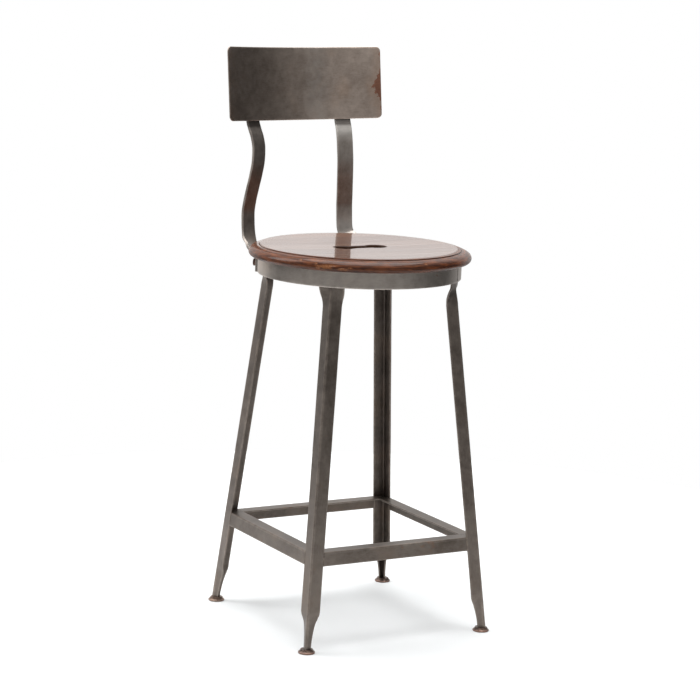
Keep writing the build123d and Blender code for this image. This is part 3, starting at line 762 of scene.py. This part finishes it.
# ------------------------------------------------------------------ ring under the seat
def build_ring():
    prof = [(RING_R - RING_T, RING_Z0), (RING_R, RING_Z0), (RING_R, RING_Z1), (RING_R - RING_T, RING_Z1)]
    pts, wear = fillet2d(prof, [0.9] * 4, seg=3, flat=2.5)
    pts = [tuple(p) for p in pts]
    seam = -47.6
    azs = sorted(set([round(360 * k / 288 - 180, 4) for k in range(288)]
                     + [seam + d for d in (-0.9, -0.45, -0.28, -0.14, 0.0, 0.14, 0.28, 0.45, 0.9)]))
    rings = []
    for az in azs:
        d = (az - seam + 180) % 360 - 180
        lift = 0.55 * max(0.0, 1 - d / 14.0) ** 2 if d >= 0 else -0.10 * max(0.0, 1 + d / 10.0)
        notch = 0.75 * max(0.0, 1 - abs(d) / 0.42)
        wave = 0.12 * sin(radians(az) * 5 + 1.0) + 0.08 * sin(radians(az) * 11)
        r = []
        for rad, z in pts:
            out = (rad - (RING_R - RING_T)) / RING_T
            rr = rad + (lift * 0.6 + wave * 0.4) - notch * out - 0.05
            r.append((rr * cos(radians(az)), rr * sin(radians(az)), z))
        rings.append(r)
    b = Build()
    m, n = len(rings), len(pts)
    v = [p for r in rings for p in r]
    f = []
    for k in range(m):
        l = (k + 1) % m
        for i in range(n):
            j = (i + 1) % n
            f.append((k * n + i, k * n + j, l * n + j, l * n + i))
    b.add(v, f, wear=list(wear) * m)
    b.make("ring_band", ring_mat, "frame_steel", ("seat_ring",))


build_ring()


# ------------------------------------------------------------------ legs
def rho(z):
    return RHO0 - SLOPE * z


def half(z):
    return rho(z) / sqrt(2)


ST = [(PAD_H, 22.0, 18.2, None), (22.0, 23.5, 18.6, None), (34.0, 25.5, 19.6, None), (50.0, 29.5, 22.0, None),
      (59.0, 36.0, 24.0, None), (67.0, 43.0, 25.0, None), (72.0, 45.0, 25.0, None), (606.0, 45.0, 25.0, None), (613.0, 47.5, 24.9, None),
      (620.0, 53.0, 24.7, 185.9), (627.0, 63.0, 24.3, 184.2), (635.0, 75.0, 23.9, 182.5), (641.5, 84.0, 23.6, 181.6),
      (646.0, 86.3, 23.5, RING_R - RING_T - 0.05), (LEG_TOP, 86.3, 23.5, RING_R - RING_T - 0.05)]


FLARE_DROP = {"front_right": 8.5}


# painted shade and light: the front left leg gets a darker copy of the steel and the rear left one a lighter copy than
# the other two
leg_mats = {"front_left": steel("frame_steel_drawn_painted_shade", (0.088, 0.072, 0.061), (0.194, 0.165, 0.144)),
            "rear_left": steel("frame_steel_drawn_painted_light", (0.116, 0.096, 0.083), (0.250, 0.214, 0.188))}


def inner_of(n, first=2, last=4):
    """1 on the side of an angle section that faces into its corner: from profile corner first to corner last."""
    per = n // 6
    return [1.0 if first * per + 2 <= i <= last * per + 2 else 0.0 for i in range(n)]


def build_leg(name, az, seed):
    drop = FLARE_DROP.get(name, 0.0)
    zs = [s[0] - (drop if 600 < s[0] < 645 else 0.0) for s in ST]
    fa, fw = mono(zs, [s[1] for s in ST]), mono(zs, [s[2] for s in ST])
    fr = mono(zs, [s[3] if s[3] is not None else rho(s[0]) for s in ST])
    zz = sorted(set([7.5] + [round(9 + 2.2 * k, 2) for k in range(32)] + [80 + 12.5 * k for k in range(40)] + [580 + 1.5 * k for k in range(45)]
                    + [654, 662, LEG_TOP]))
    rng = np.random.default_rng(seed)
    ph = rng.uniform(0, 6.28, 6)
    rings, wear, inner = [], [], []
    n45, s45 = (cos(radians(az)), sin(radians(az))), (-sin(radians(az)), cos(radians(az)))
    for z in zz:
        a, w, r, t = radians(fa(z)), fw(z), fr(z), ANGLE_T
        poly = [(0, 0), (-w * cos(a), w * sin(a)), (-w * cos(a) - t * sin(a), w * sin(a) - t * cos(a)), (-t / sin(a), 0),
                (-w * cos(a) - t * sin(a), -w * sin(a) + t * cos(a)), (-w * cos(a), -w * sin(a))]
        # the pinched foot is rolled rounder than the drawn angle above it; the corner stays where the CAD has it
        round_ = 2.3 + 1.0 * min(1.0, max(0.0, (72.0 - z) / 30.0))
        keep = max(0.0, 0.5 * round_ / tan(a) * cos(a) - 0.5 * 2.3 * cos(radians(45))) if z < 72 else 0.0
        pts, wr = fillet2d(poly, [round_, 0.7, 1.1, 2.4, 1.1, 0.7], seg=4, flat=2.4)
        # drawn steel isn't perfectly true: a tenth of a millimetre of waviness, more where it was beaten flat
        beat = 0.30 if z > 590 or z < 70 else 0.10
        dev = beat * (0.6 * sin(z / 17 + ph[0]) + 0.4 * sin(z / 7.3 + ph[1]))
        ring = []
        for dn, ds in pts:
            x = r + float(dn) - 0.12 + 0.25 * min(0.0, dev) + keep
            y = float(ds) * (1 + 0.004 * sin(z / 23 + ph[2]))
            ring.append((n45[0] * x + s45[0] * y, n45[1] * x + s45[1] * y, z))
        rings.append(ring)
        wear += wr
        inner += inner_of(len(wr))
    b = Build()
    b.loft(rings, wear=wear, inner=inner)
    b.make("leg_bar_" + name, leg_mats.get(name, frame_mat), "frame_steel", ("leg_" + name,))


for i, (name, az) in enumerate(CORNERS.items()):
    build_leg(name, az, 20 + i)


# ------------------------------------------------------------------ foot pads
def build_pad(name, az):
    prof = [(0.0, 0.0), (PAD_R - 1.3, 0.0), (PAD_R - 0.5, 0.25), (PAD_R - 0.08, 0.8), (PAD_R, 1.5), (PAD_R - 0.05, 2.2), (PAD_R - 0.4, 2.8),
            (14.0, 3.2), (13.1, 3.8), (12.3, 4.7), (11.7, 5.7), (11.25, 6.6), (10.9, 7.3), (10.4, 7.48), (0.0, PAD_H)]
    c = (PAD_CENTRE * cos(radians(az)), PAD_CENTRE * sin(radians(az)))
    rng = np.random.default_rng(int(az))
    ph = rng.uniform(0, 6.28, 3)
    n = 64
    v, wear, f = [], [], []
    w = [0, 0.2, 0.7, 1, 1, 1, 0.8, 0.35, 0.0, 0, 0, 0, 0, 0, 0]
    for k in range(n):
        t = 2 * pi * k / n
        rag = 1 + 0.006 * sin(3 * t + ph[0]) + 0.004 * sin(7 * t + ph[1])
        for (r, z), wv in zip(prof[1:-1], w[1:-1]):
            rr = min(r * rag, PAD_R)
            if 3.4 < z < 7.4:
                # weld run round the foot
                rr += 0.35 * sin(11 * t + ph[2] + z) * sin(pi * (z - 3.4) / 4.0) + 0.2 * sin(5 * t + ph[0])
            v.append((c[0] + rr * cos(t), c[1] + rr * sin(t), z))
            wear.append(wv)
    m = len(prof) - 2
    for k in range(n):
        l = (k + 1) % n
        for i in range(m - 1):
            f.append((k * m + i, k * m + i + 1, l * m + i + 1, l * m + i))
    v += [(c[0], c[1], 0.0), (c[0], c[1], PAD_H)]
    wear += [0, 0]
    for k in range(n):
        l = (k + 1) % n
        f.append((k * m, l * m, n * m))
        f.append((k * m + m - 1, n * m + 1, l * m + m - 1))
    b = Build()
    b.add(v, f, wear=wear)
    b.make("pad_" + name, pad_tan if name == "rear_left" else pad_dark, "pad_steel", ("foot_pad_" + name,))


for name, az in CORNERS.items():
    build_pad(name, az)


# ------------------------------------------------------------------ footrest bars
def build_bar(name, ang):
    z1, z0, t = REST_TOP, REST_TOP - REST_H, ANGLE_T
    poly = [(half(z0), z0), (half(z1), z1), (half(z1) - ANGLE_W, z1), (half(z1) - ANGLE_W, z1 - t), (half(z1 - t) - t, z1 - t), (half(z0) - t, z0)]
    pts, wr = fillet2d(poly, [0.7, 2.3, 0.7, 1.1, 2.4, 1.1], seg=4, flat=2.4)
    rings, wear, inner = [], [], []
    n = 36
    ph = ang * 0.7
    for k in range(n + 1):
        s = -1 + 2 * k / n
        r = []
        for y, z in pts:
            xe = half(float(z)) - ANGLE_W - 0.25
            x = xe * s
            dev = 0.12 * sin(x / 31 + ph) + 0.06 * sin(x / 11 + 1 + ph)
            r.append(rot((x, float(y) - 0.1 - 0.5 * abs(dev), float(z) - 0.04), ang))
        rings.append(r)
        wear += wr
        inner += inner_of(len(wr), 3, 5)
    b = Build()
    b.loft(rings, wear=wear, inner=inner)
    # the top flange runs on to the mitre inside each leg
    h = half(z1)
    for sg in (-1, 1):
        tri = [(h - ANGLE_W - 0.3, h - ANGLE_W + 0.15), (h - ANGLE_W - 0.3, h - t + 0.05), (h - t - 0.15, h - t + 0.05)]
        lo = [rot((sg * x, y, z1 - t), ang) for x, y in tri]
        mid = [rot((sg * x, y, z1 - 0.35), ang) for x, y in tri]
        cx, cy = sum(p[0] for p in tri) / 3, sum(p[1] for p in tri) / 3
        hi = [rot((sg * (cx + (x - cx) * 0.965), cy + (y - cy) * 0.965, z1 - 0.04), ang) for x, y in tri]
        b.loft([lo, mid, hi])
    b.make("rest_bar_" + name, bar_mat, "frame_steel", ("footrest_bar_" + name,))


for name, ang in {"rear": 0, "left": 90, "front": 180, "right": 270}.items():
    build_bar(name, ang)


# ------------------------------------------------------------------ back straps
START = {"right": [(676.0, 119.6, 171.5), (682.0, 117.6, 181.0), (690.0, 114.2, 191.0), (702.0, 112.9, 195.8), (720.0, 112.5, 197.3)],
         "left": [(676.0, 119.6, 171.5), (682.0, 118.4, 177.4), (690.0, 116.4, 184.4), (702.0, 114.4, 190.8), (720.0, 112.9, 195.4)]}
PATH = [(740.0, 111.8, 197.6),
        (760.0, 110.2, 195.6), (785.0, 107.0, 191.8), (810.0, 103.6, 187.8), (835.0, 100.9, 185.4), (858.0, 99.8, 186.6),
        (878.0, 100.9, 191.2), (893.0, 102.8, 197.4)]


def build_strap(side):
    sg = 1 if side == "right" else -1
    bb = radians(STRAP_ANG)
    r0 = RING_R + STRAP_GAP + STRAP_T / 2
    rel = sg * STRAP_PITCH - PANEL_SIDE
    Rc = PANEL_RAD + PANEL_T + STRAP_T / 2 + 0.02
    phi = asin(rel / Rc)
    lx, ly = Rc * sin(phi), Rc * cos(phi) - PANEL_RAD
    knots = [(STRAP_END, r0 * sin(bb), r0 * cos(bb)), (650.0, r0 * sin(bb), r0 * cos(bb)), (662.0, r0 * sin(bb), r0 * cos(bb))] + START[side] + PATH
    for k in (0.0, 8.0, 20.0, STRAP_RUN):
        px, py, pz = panel_point(lx, ly, k)
        knots.append((pz, sg * px, py))
    zs = [k[0] for k in knots]
    U, V = mono(zs, [k[1] for k in knots]), mono(zs, [k[2] for k in knots])
    zz = [STRAP_END, STRAP_END + 0.5] + [STRAP_END + 1.2 + 2.6 * k for k in range(int((zs[-1] - STRAP_END - 3.5) / 2.6) + 1)] + [zs[-1] - 0.5, zs[-1]]
    zz = sorted(set(round(z, 3) for z in zz))
    sect, wr = fillet2d([(-16, -2.5), (16, -2.5), (16, 2.5), (-16, 2.5)], [1.15] * 4, seg=4, flat=2.0)
    rings, wear = [], []
    for i, z in enumerate(zz):
        e = 1.2
        za, zb = max(z - e, zs[0]), min(z + e, zs[-1])
        T = Vector((sg * (U(zb) - U(za)), V(zb) - V(za), zb - za)).normalized()
        q = min(max((z - 676.0) / 16.0, 0), 1)
        q = q * q * (3 - 2 * q)
        g = radians(STRAP_ANG + (degrees(abs(phi)) - STRAP_ANG) * q)
        t = Vector((cos(g), -sg * sin(g), 0))
        n = t.cross(T).normalized()
        if n.y > 0:
            n = -n
        t = T.cross(n).normalized()
        c = Vector((sg * U(z), V(z), z))
        end = min(i, len(zz) - 1 - i)
        shr = {0: 0.6, 1: 0.18}.get(end, 0.0)
        ring = []
        for x, y in sect:
            x, y = float(x), float(y)
            x -= shr * (1 if x > 0 else -1)
            y -= shr * (1 if y > 0 else -1)
            p = c + t * x + n * (-y if False else y)
            ring.append(rot(tuple(p), BACK_TURN))
        rings.append(ring)
        wear += [q2 * (0.25 if z < 730 else 0.8) for q2 in wr]
    b = Build()
    b.loft(rings, wear=wear)
    b.make("strap_bar_" + side, strap_mat, "frame_steel", ("back_strap_" + side,))


build_strap("left")
build_strap("right")


# ------------------------------------------------------------------ backrest panel
def build_panel():
    W, H, cr, e, ht = CHORD, PANEL_H, CORNER_R, 1.05, PANEL_T / 2
    hw = W / 2 - e
    ic = cr - e
    xs = list(np.linspace(-(W / 2 - cr), W / 2 - cr, 97))
    side = [W / 2 - cr + ic * sin(radians(a)) for a in np.linspace(0, 90, 11)[1:]]
    xs = [-x for x in side[::-1]] + xs + side
    rows = 40

    def zlim(x):
        d = abs(x) - (W / 2 - cr)
        return e + (ic - sqrt(max(ic * ic - d * d, 0.0)) if d > 0 else 0.0)

    def warp(x, z):
        u, w = x / (W / 2), z / H
        fade = max(0.0, 1 - abs(u) ** 6) * max(0.0, 1 - abs(2 * w - 1) ** 6)
        d = 0.42 * math.exp(-((x - 62 - 0.25 * (z - 60)) / 24.0) ** 2) + 0.25 * sin(x / 39 + 0.8) * sin(z / 31 + 0.4) + 0.12 * sin(x / 17 + z / 23)
        return 0.8 * d * fade

    def pt(x, z, depth):
        R = PANEL_RAD + ht
        ph = asin(max(-1, min(1, x / R)))
        rr = R + depth + warp(x, z)
        return rot(panel_point(rr * sin(ph), rr * cos(ph) - PANEL_RAD, z), BACK_TURN)

    nx = len(xs)
    grid = []
    for x in xs:
        lo = zlim(x)
        # rows are spaced evenly between the two long edges
        grid.append([lo + (H - 2 * lo) * k / rows for k in range(rows + 1)])
    verts, pu, pw, wear, f = [], [], [], [], []

    def add(x, z, depth, w):
        verts.append(pt(x, z, depth))
        pu.append(x / W + 0.5)
        pw.append(z / H)
        wear.append(w)
        return len(verts) - 1

    front = [[add(xs[i], grid[i][k], -ht, 1.0 if (i in (0, nx - 1) or k in (0, rows)) else 0.0) for k in range(rows + 1)] for i in range(nx)]
    back = [[add(xs[i], grid[i][k], ht, 1.0 if (i in (0, nx - 1) or k in (0, rows)) else 0.0) for k in range(rows + 1)] for i in range(nx)]
    for g in (front, back):
        for i in range(nx - 1):
            for k in range(rows):
                f.append((g[i][k], g[i + 1][k], g[i + 1][k + 1], g[i][k + 1]))
    loop = [(i, 0) for i in range(nx)] + [(nx - 1, k) for k in range(1, rows + 1)] + [(i, rows) for i in range(nx - 2, -1, -1)] + [(0, k) for k in range(rows - 1, 0, -1)]
    K = 6
    strips = [[front[i][k] for i, k in loop]]
    for s in range(1, K):
        th = pi * s / K
        line = []
        for i, k in loop:
            x, z = xs[i], grid[i][k]
            if i in (0, nx - 1):
                nrm = (1.0 if i else -1.0, 0.0)
            else:
                d = abs(x) - (W / 2 - cr)
                if d > 0:
                    cx = (W / 2 - cr) * (1 if x > 0 else -1)
                    cz = cr if k == 0 else H - cr
                    q = Vector((x - cx, z - cz)).normalized()
                    nrm = (q.x, q.y)
                else:
                    nrm = (0.0, -1.0 if k == 0 else 1.0)
            o = e * sin(th)
            line.append(add(x + nrm[0] * o, z + nrm[1] * o, -ht * cos(th), 1.0))
        strips.append(line)
    strips.append([back[i][k] for i, k in loop])
    n = len(loop)
    for s in range(K):
        for i in range(n):
            j = (i + 1) % n
            f.append((strips[s][i], strips[s][j], strips[s + 1][j], strips[s + 1][i]))
    make("panel_sheet", verts, f, panel_mat, "panel_steel", ("backrest_panel",), {"pu": pu, "pw": pw, "wear": wear}, sharp=60, weighted=False)


build_panel()


# ------------------------------------------------------------------ fasteners
def hex_solid(b, az, r0, r1, z, flats, chamfer=(True, True), bore=None):
    """Hexagon head or nut along the radial direction az with turned chamfers, and a bore for nuts."""
    n = 72
    a = radians(az)
    h = r1 - r0
    levels = [(0.0, 1.6), (0.25, 0.95), (0.6, 0.42), (1.05, 0.0), (h - 1.05, 0.0), (h - 0.6, 0.42), (h - 0.25, 0.95), (h, 1.6)]
    rings, wear = [], []
    if bore:
        rings.append([(bore, 0.4)] * n)
        wear += [0.0] * n
    for lv, cut in levels:
        first = lv < h / 2
        cut = cut if (chamfer[0] if first else chamfer[1]) else 0.0
        R = []
        for k in range(n):
            t = 2 * pi * k / n
            hx = (flats / 2) / cos(((t + pi / 6) % (pi / 3)) - pi / 6)
            lim = flats / 2 / cos(pi / 6) - cut
            R.append((min(hx, lim), lv))
        rings.append(R)
        wear += [0.6 if cut else 0.1] * n
    if bore:
        rings.append([(bore, h - 0.4)] * n)
        wear += [0.0] * n
    pts = []
    for R in rings:
        r = []
        for k, (rad, lv) in enumerate(R):
            t = 2 * pi * k / n + pi / 6
            s, u, al = rad * cos(t), rad * sin(t), r0 + lv
            r.append((al * cos(a) - s * sin(a), al * sin(a) + s * cos(a), z + u))
        pts.append(r)
    if bore:
        v = [p for r in pts for p in r]
        f = []
        m = len(pts)
        for k in range(m):
            l = (k + 1) % m
            for i in range(n):
                j = (i + 1) % n
                f.append((k * n + i, k * n + j, l * n + j, l * n + i))
        b.add(v, f, wear=wear)
    else:
        b.loft(pts, wear=wear)


def rod_solid(b, az, prof, z, n=40):
    """Turned solid along the radial direction: prof is [(radius, along)] from end to end, closed on the axis."""
    a = radians(az)
    rings = []
    for rad, al in prof:
        rings.append([(al * cos(a) - rad * cos(t) * sin(a), al * sin(a) + rad * cos(t) * cos(a), z + rad * sin(t))
                      for t in [2 * pi * k / n for k in range(n)]])
    b.loft(rings)


bolts, nuts, washers, spacers = Build(), Build(), Build(), Build()
for side, az in STRAP_AZ.items():
    out = RING_R + STRAP_GAP + STRAP_T
    inner = 177.9 if side == "left" else RING_R - RING_T - 0.25
    hex_solid(bolts, az, out, out + 8.0, BOLT_Z, 13.0, chamfer=(False, True))
    # shank with thread on the part inside the ring
    prof = [(3.2, out - 28.0), (3.9, out - 27.3)]
    al = out - 27.3
    while al < inner - 0.3:
        prof += [(3.98, al + 0.1), (3.98, al + 0.35), (3.42, al + 0.75), (3.42, al + 0.9)]
        al += 1.25
    prof += [(4.0, inner), (4.0, out + 0.5)]
    rod_solid(bolts, az, prof, BOLT_Z, n=32)
    hex_solid(nuts, az, inner - 8.1, inner - 1.6, BOLT_Z, 13.0, bore=4.1)
    washers.lathe([(4.2, inner - 1.6), (7.8, inner - 1.6), (8.0, inner - 1.4), (8.0, inner - 0.2), (7.8, inner), (4.2, inner)], (0, 0), az, BOLT_Z, 48,
                  wear=[0, 0.5, 1, 1, 0.5, 0])
    spacers.lathe([(4.3, RING_R + 0.05), (8.2, RING_R + 0.05), (8.5, RING_R + 0.4), (8.5, RING_R + STRAP_GAP - 0.4), (8.2, RING_R + STRAP_GAP - 0.03),
                   (4.3, RING_R + STRAP_GAP - 0.03)], (0, 0), az, BOLT_Z, 48, wear=[0, 0.5, 0.6, 0.6, 0.5, 0])
bolts.make("bolt_set", hw_mat, "hardware", ("strap_bolts",))
nuts.make("nut_set", hw_mat, "hardware", ("strap_nuts",))
washers.make("washer_set", hw_mat, "hardware", ("strap_washers",))
spacers.make("spacer_set", hw_mat, "hardware", ("strap_spacers",))


# ------------------------------------------------------------------ seat tabs and screws, under the board
def rounded_tab(az):
    w, t, run, drop = 25.0, 3.0, 32.0, 20.0
    tr = sqrt((RING_R - RING_T) ** 2 - (w / 2) ** 2) - 0.05
    z1 = SEAT_BOT - 0.03
    # bent strip in the radial plane, with an outside bend radius
    outer = [(tr - run, z1), (tr, z1), (tr, z1 - drop)]
    poly = [(tr - run, z1), (tr, z1), (tr, z1 - drop), (tr - t, z1 - drop), (tr - t, z1 - t), (tr - run, z1 - t)]
    pts, wr = fillet2d(poly, [0.6, 3.6, 0.6, 0.6, 1.2, 0.6], seg=4, flat=2.0)
    hw = w / 2
    ys = [-hw, -hw + 0.25, -hw + 0.8, -hw + 4, 0.0, hw - 4, hw - 0.8, hw - 0.25, hw]
    ins = [0.6, 0.2, 0, 0, 0, 0, 0, 0.2, 0.6]
    cx, cz = tr - 8, z1 - 6
    rings = []
    wear = []
    for y, sh in zip(ys, ins):
        r = []
        for x, z in pts:
            x, z = float(x), float(z)
            r.append(rot((x - (0.3 * sh if x > tr - 1 else 0) + (0.8 * sh if x < tr - run + 1 else 0), y, z + (0.8 * sh if z < z1 - drop + 1 else 0)), az))
        rings.append(r)
        wear += wr
    b = Build()
    b.loft(rings, wear=wear)
    return b


for name, az in {"right": 0, "rear": 90, "left": 180, "front": 270}.items():
    rounded_tab(az).make("tab_" + name, inside_mat, "frame_steel", ("seat_tab_" + name,))

screws = Build()
for az in (0, 90, 180, 270):
    c = (162 * cos(radians(az)), 162 * sin(radians(az)))
    zt = SEAT_BOT - 3.0
    n = 36
    prof = [(1.15, zt - 1.5), (1.2, zt - 2.35), (1.9, zt - 2.55), (3.3, zt - 2.3), (4.2, zt - 1.3), (4.5, zt - 0.2), (4.5, zt), (2.2, zt + 0.02), (2.2, SEAT_BOT + 12.8), (0.35, SEAT_BOT + 15.8)]
    rings = []
    for rad, z in prof:
        rings.append([(c[0] + rad * (1 + (0.9 * max(0.0, cos(4 * t)) if rad < 1.3 else 0.0)) * cos(t), c[1] + rad * (1 + (0.9 * max(0.0, cos(4 * t)) if rad < 1.3 else 0.0)) * sin(t), z)
                      for t in [2 * pi * k / n for k in range(n)]])
    screws.loft(rings)
screws.make("screw_set", hw_mat, "hardware", ("seat_screws",))


# ------------------------------------------------------------------ welds
wl = Build()
a, w, t = radians(86.3), 23.5, ANGLE_T
rr = RING_R - RING_T - 0.05
k = 0
for az in CORNERS.values():
    for s in (1, -1):
        # corner of the flattened leg top, at the ring's inner face
        e = (rr - w * cos(a), s * w * sin(a))
        o = rot((e[0], e[1], 0), az)
        side = rot((-cos(a), s * sin(a), 0), az)
        inw = rot((-1.0, 0, 0), az)
        p0 = (o[0], o[1], RING_Z0 + 2.5)
        p1 = (o[0], o[1], LEG_TOP - 2.5)
        ew = np.array(side) * 1.0
        eh = np.array(inw) * 1.0
        mid = np.array([0, 0, 0])
        bead(wl, np.array(p0) + ew * 0.6, np.array(p1) + ew * 0.6, ew, eh, 1.9, 2.3, seed=k)
        k += 1
wl.make("ring_weld_set", weld_mat, "weld", ("leg_ring_welds",), weighted=False)

wf = Build()
k = 40
for ang in (0, 90, 180, 270):
    for sg in (-1, 1):
        z0, z1 = REST_TOP - REST_H + 1.6, REST_TOP - 1.6
        p0 = rot((sg * (half(z0) - ANGLE_W - 0.05), half(z0) - 0.25, z0), ang)
        p1 = rot((sg * (half(z1) - ANGLE_W - 0.05), half(z1) - 0.25, z1), ang)
        bead(wf, p0, p1, rot((1.0, 0, 0), ang), rot((0, 1.0, 0), ang), 1.15, 0.85, pitch=1.5, seed=k)
        k += 1
wf.make("footrest_weld_set", weld_mat, "weld", ("footrest_welds",), weighted=False)

wb = Build()
k = 80
for sg in (-1, 1):
    rel = sg * STRAP_PITCH - PANEL_SIDE
    phi = asin(rel / (PANEL_RAD + PANEL_T + STRAP_T / 2 + 0.02))
    n = np.array([sin(phi), cos(phi)])
    tt = np.array([cos(phi), -sin(phi)])
    foot = np.array([0, -PANEL_RAD]) + n * (PANEL_RAD + PANEL_T + 0.02)
    for e in (-1, 1):
        for k0, k1 in ((14.5, 38.5), (66.5, 90.5)):
            q = foot + tt * (e * (STRAP_W / 2 + 0.9)) - n * 0.25
            p0, p1 = panel_point(q[0], q[1], k0), panel_point(q[0], q[1], k1)
            o = np.array(panel_point(0, 0, 0))
            ew = np.array(panel_point(tt[0] * e, tt[1] * e, 0)) - o
            eh = np.array(panel_point(n[0], n[1], 0)) - o
            bead(wb, rot(tuple(p0), BACK_TURN), rot(tuple(p1), BACK_TURN), rot(tuple(ew), BACK_TURN), rot(tuple(eh), BACK_TURN), 2.1, 2.5, seed=k)
            k += 1
wb.make("backrest_weld_set", weld_mat, "weld", ("backrest_welds",), weighted=False)


# ------------------------------------------------------------------ camera
AZ, DIST, HC, FPX = -0.5171582139613077, 4.300870282864098, 1.2538668604761913, 2383.7039292325985
YAW, PITCH, ROLL = -0.002730314500520732, 0.17305868134360153, 0.037266849589263885
fwd = Vector((-sin(AZ), cos(AZ), 0))
right = Vector((cos(AZ), sin(AZ), 0))
up = Vector((0, 0, 1))
f1 = fwd * cos(YAW) + right * sin(YAW)
r1 = right * cos(YAW) - fwd * sin(YAW)
f2 = f1 * cos(PITCH) - up * sin(PITCH)
u2 = up * cos(PITCH) + f1 * sin(PITCH)
r3 = r1 * cos(ROLL) + u2 * sin(ROLL)
u3 = u2 * cos(ROLL) - r1 * sin(ROLL)
C = Vector((DIST * sin(AZ) + SX * 0.001, -DIST * cos(AZ) + SY * 0.001, HC))
cam_data = bpy.data.cameras.new("camera")
cam = bpy.data.objects.new("camera", cam_data)
scene.collection.objects.link(cam)
M = Matrix((r3, u3, -f2)).transposed().to_4x4()
M.translation = C
cam.matrix_world = M
cam_data.sensor_fit = "AUTO"
cam_data.sensor_width = 36.0
cam_data.lens = FPX / 700.0 * 36.0
cam_data.clip_start, cam_data.clip_end = 0.05, 400.0
scene.camera = cam

# ------------------------------------------------------------------ floor, world and lights
scene.view_settings.view_transform = "Standard"
scene.view_settings.look = "None"
scene.view_settings.exposure = 0.0
scene.view_settings.gamma = 1.0

fl = bpy.data.meshes.new("floor")
nseg = 96
fv = [(0.0, 0.0, 0.0)]
ff = []
radii = [0.4, 0.8, 1.1, 1.4]
for r in radii:
    for k in range(nseg):
        fv.append((r * cos(2 * pi * k / nseg), r * sin(2 * pi * k / nseg), 0.0))
for k in range(nseg):
    j = (k + 1) % nseg
    ff.append((0, 1 + k, 1 + j))
    for i in range(len(radii) - 1):
        ff.append((1 + i * nseg + k, 1 + (i + 1) * nseg + k, 1 + (i + 1) * nseg + j, 1 + i * nseg + j))
fl.from_pydata(fv, [], ff)
floor = bpy.data.objects.new("floor", fl)
scene.collection.objects.link(floor)
g = Nodes("floor_paper")
n = g.noise(scale=3.0, detail=3)
g.link(g.mix(g.maprange(n, 0.3, 0.7, 0, 1), (0.900, 0.920, 0.930), (0.920, 0.938, 0.948)), g.b.inputs["Base Color"])
g.b.inputs["Roughness"].default_value = 0.9
g.b.inputs["Specular IOR Level"].default_value = 0.1
fl.materials.append(g.m)

world = bpy.data.worlds.new("studio")
scene.world = world
world.use_nodes = True
wt = world.node_tree
wt.nodes.clear()
wo = wt.nodes.new("ShaderNodeOutputWorld")
bg = wt.nodes.new("ShaderNodeBackground")
bg2 = wt.nodes.new("ShaderNodeBackground")
mixw = wt.nodes.new("ShaderNodeMixShader")
lp = wt.nodes.new("ShaderNodeLightPath")
tc = wt.nodes.new("ShaderNodeTexCoord")
bg2.inputs[0].default_value = (1, 1, 1, 1)
bg2.inputs[1].default_value = 1.0
wt.links.new(lp.outputs["Is Camera Ray"], mixw.inputs[0])
wt.links.new(bg.outputs[0], mixw.inputs[1])
wt.links.new(bg2.outputs[0], mixw.inputs[2])
wt.links.new(mixw.outputs[0], wo.inputs[0])


def wdot(vec):
    x = wt.nodes.new("ShaderNodeVectorMath")
    x.operation = "DOT_PRODUCT"
    wt.links.new(tc.outputs["Generated"], x.inputs[0])
    x.inputs[1].default_value = vec
    return x.outputs["Value"]


def wmap(v, a, b, c, d):
    x = wt.nodes.new("ShaderNodeMapRange")
    x.interpolation_type = "SMOOTHSTEP"
    wt.links.new(v, x.inputs[0])
    for i, q in enumerate((a, b, c, d)):
        x.inputs[i + 1].default_value = q
    return x.outputs[0]


def wmath(op, a, b):
    x = wt.nodes.new("ShaderNodeMath")
    x.operation = op
    for s, v in ((x.inputs[0], a), (x.inputs[1], b)):
        if isinstance(v, bpy.types.NodeSocket):
            wt.links.new(v, s)
        else:
            s.default_value = v
    return x.outputs[0]


# a studio: white sweep behind the stool, soft box overhead, darker room at the sides and on the camera's side


def az_vec(az, el=0.0):
    return (cos(radians(az)) * cos(radians(el)), sin(radians(az)) * cos(radians(el)), sin(radians(el)))


tot = wmath("ADD", wmap(wdot((fwd.x, fwd.y, 0.0)), 0.45, 0.80, 0.0, 0.82), 0.13)
tot = wmath("ADD", tot, wmap(wdot(az_vec(-98)), 0.30, 0.98, 0.0, 0.37))
tot = wmath("ADD", tot, wmap(wdot(az_vec(150)), 0.35, 0.98, 0.0, 0.45))
tot = wmath("MULTIPLY", tot, wmap(wdot((0, 0, 1)), -0.25, 0.0, 0.60, 1.0))
tot = wmath("ADD", tot, wmap(wdot((0, 0, 1)), 0.42, 0.80, 0.0, 0.62))
wt.links.new(tot, bg.inputs[1])
bg.inputs[0].default_value = (1.0, 0.995, 0.985, 1)

centre = Vector((0, 0, 0.6))


def area(name, pos, target, size, energy, color=(1, 1, 1), size_y=None):
    d = bpy.data.lights.new(name, "AREA")
    d.shape = "RECTANGLE" if size_y else "SQUARE"
    d.size = size
    if size_y:
        d.size_y = size_y
    d.energy = energy
    d.color = color
    o = bpy.data.objects.new(name, d)
    scene.collection.objects.link(o)
    o.location = pos
    o.rotation_mode = "QUATERNION"
    o.rotation_quaternion = (Vector(target) - Vector(pos)).to_track_quat("-Z", "Y")
    o.visible_camera = False
    return o


area("key", centre - right * 2.3 + fwd * 0.2 + up * 1.7, centre, 1.4, 30, size_y=1.8)
area("overhead", centre + up * 3.0 + fwd * 0.3, centre, 3.0, 100)
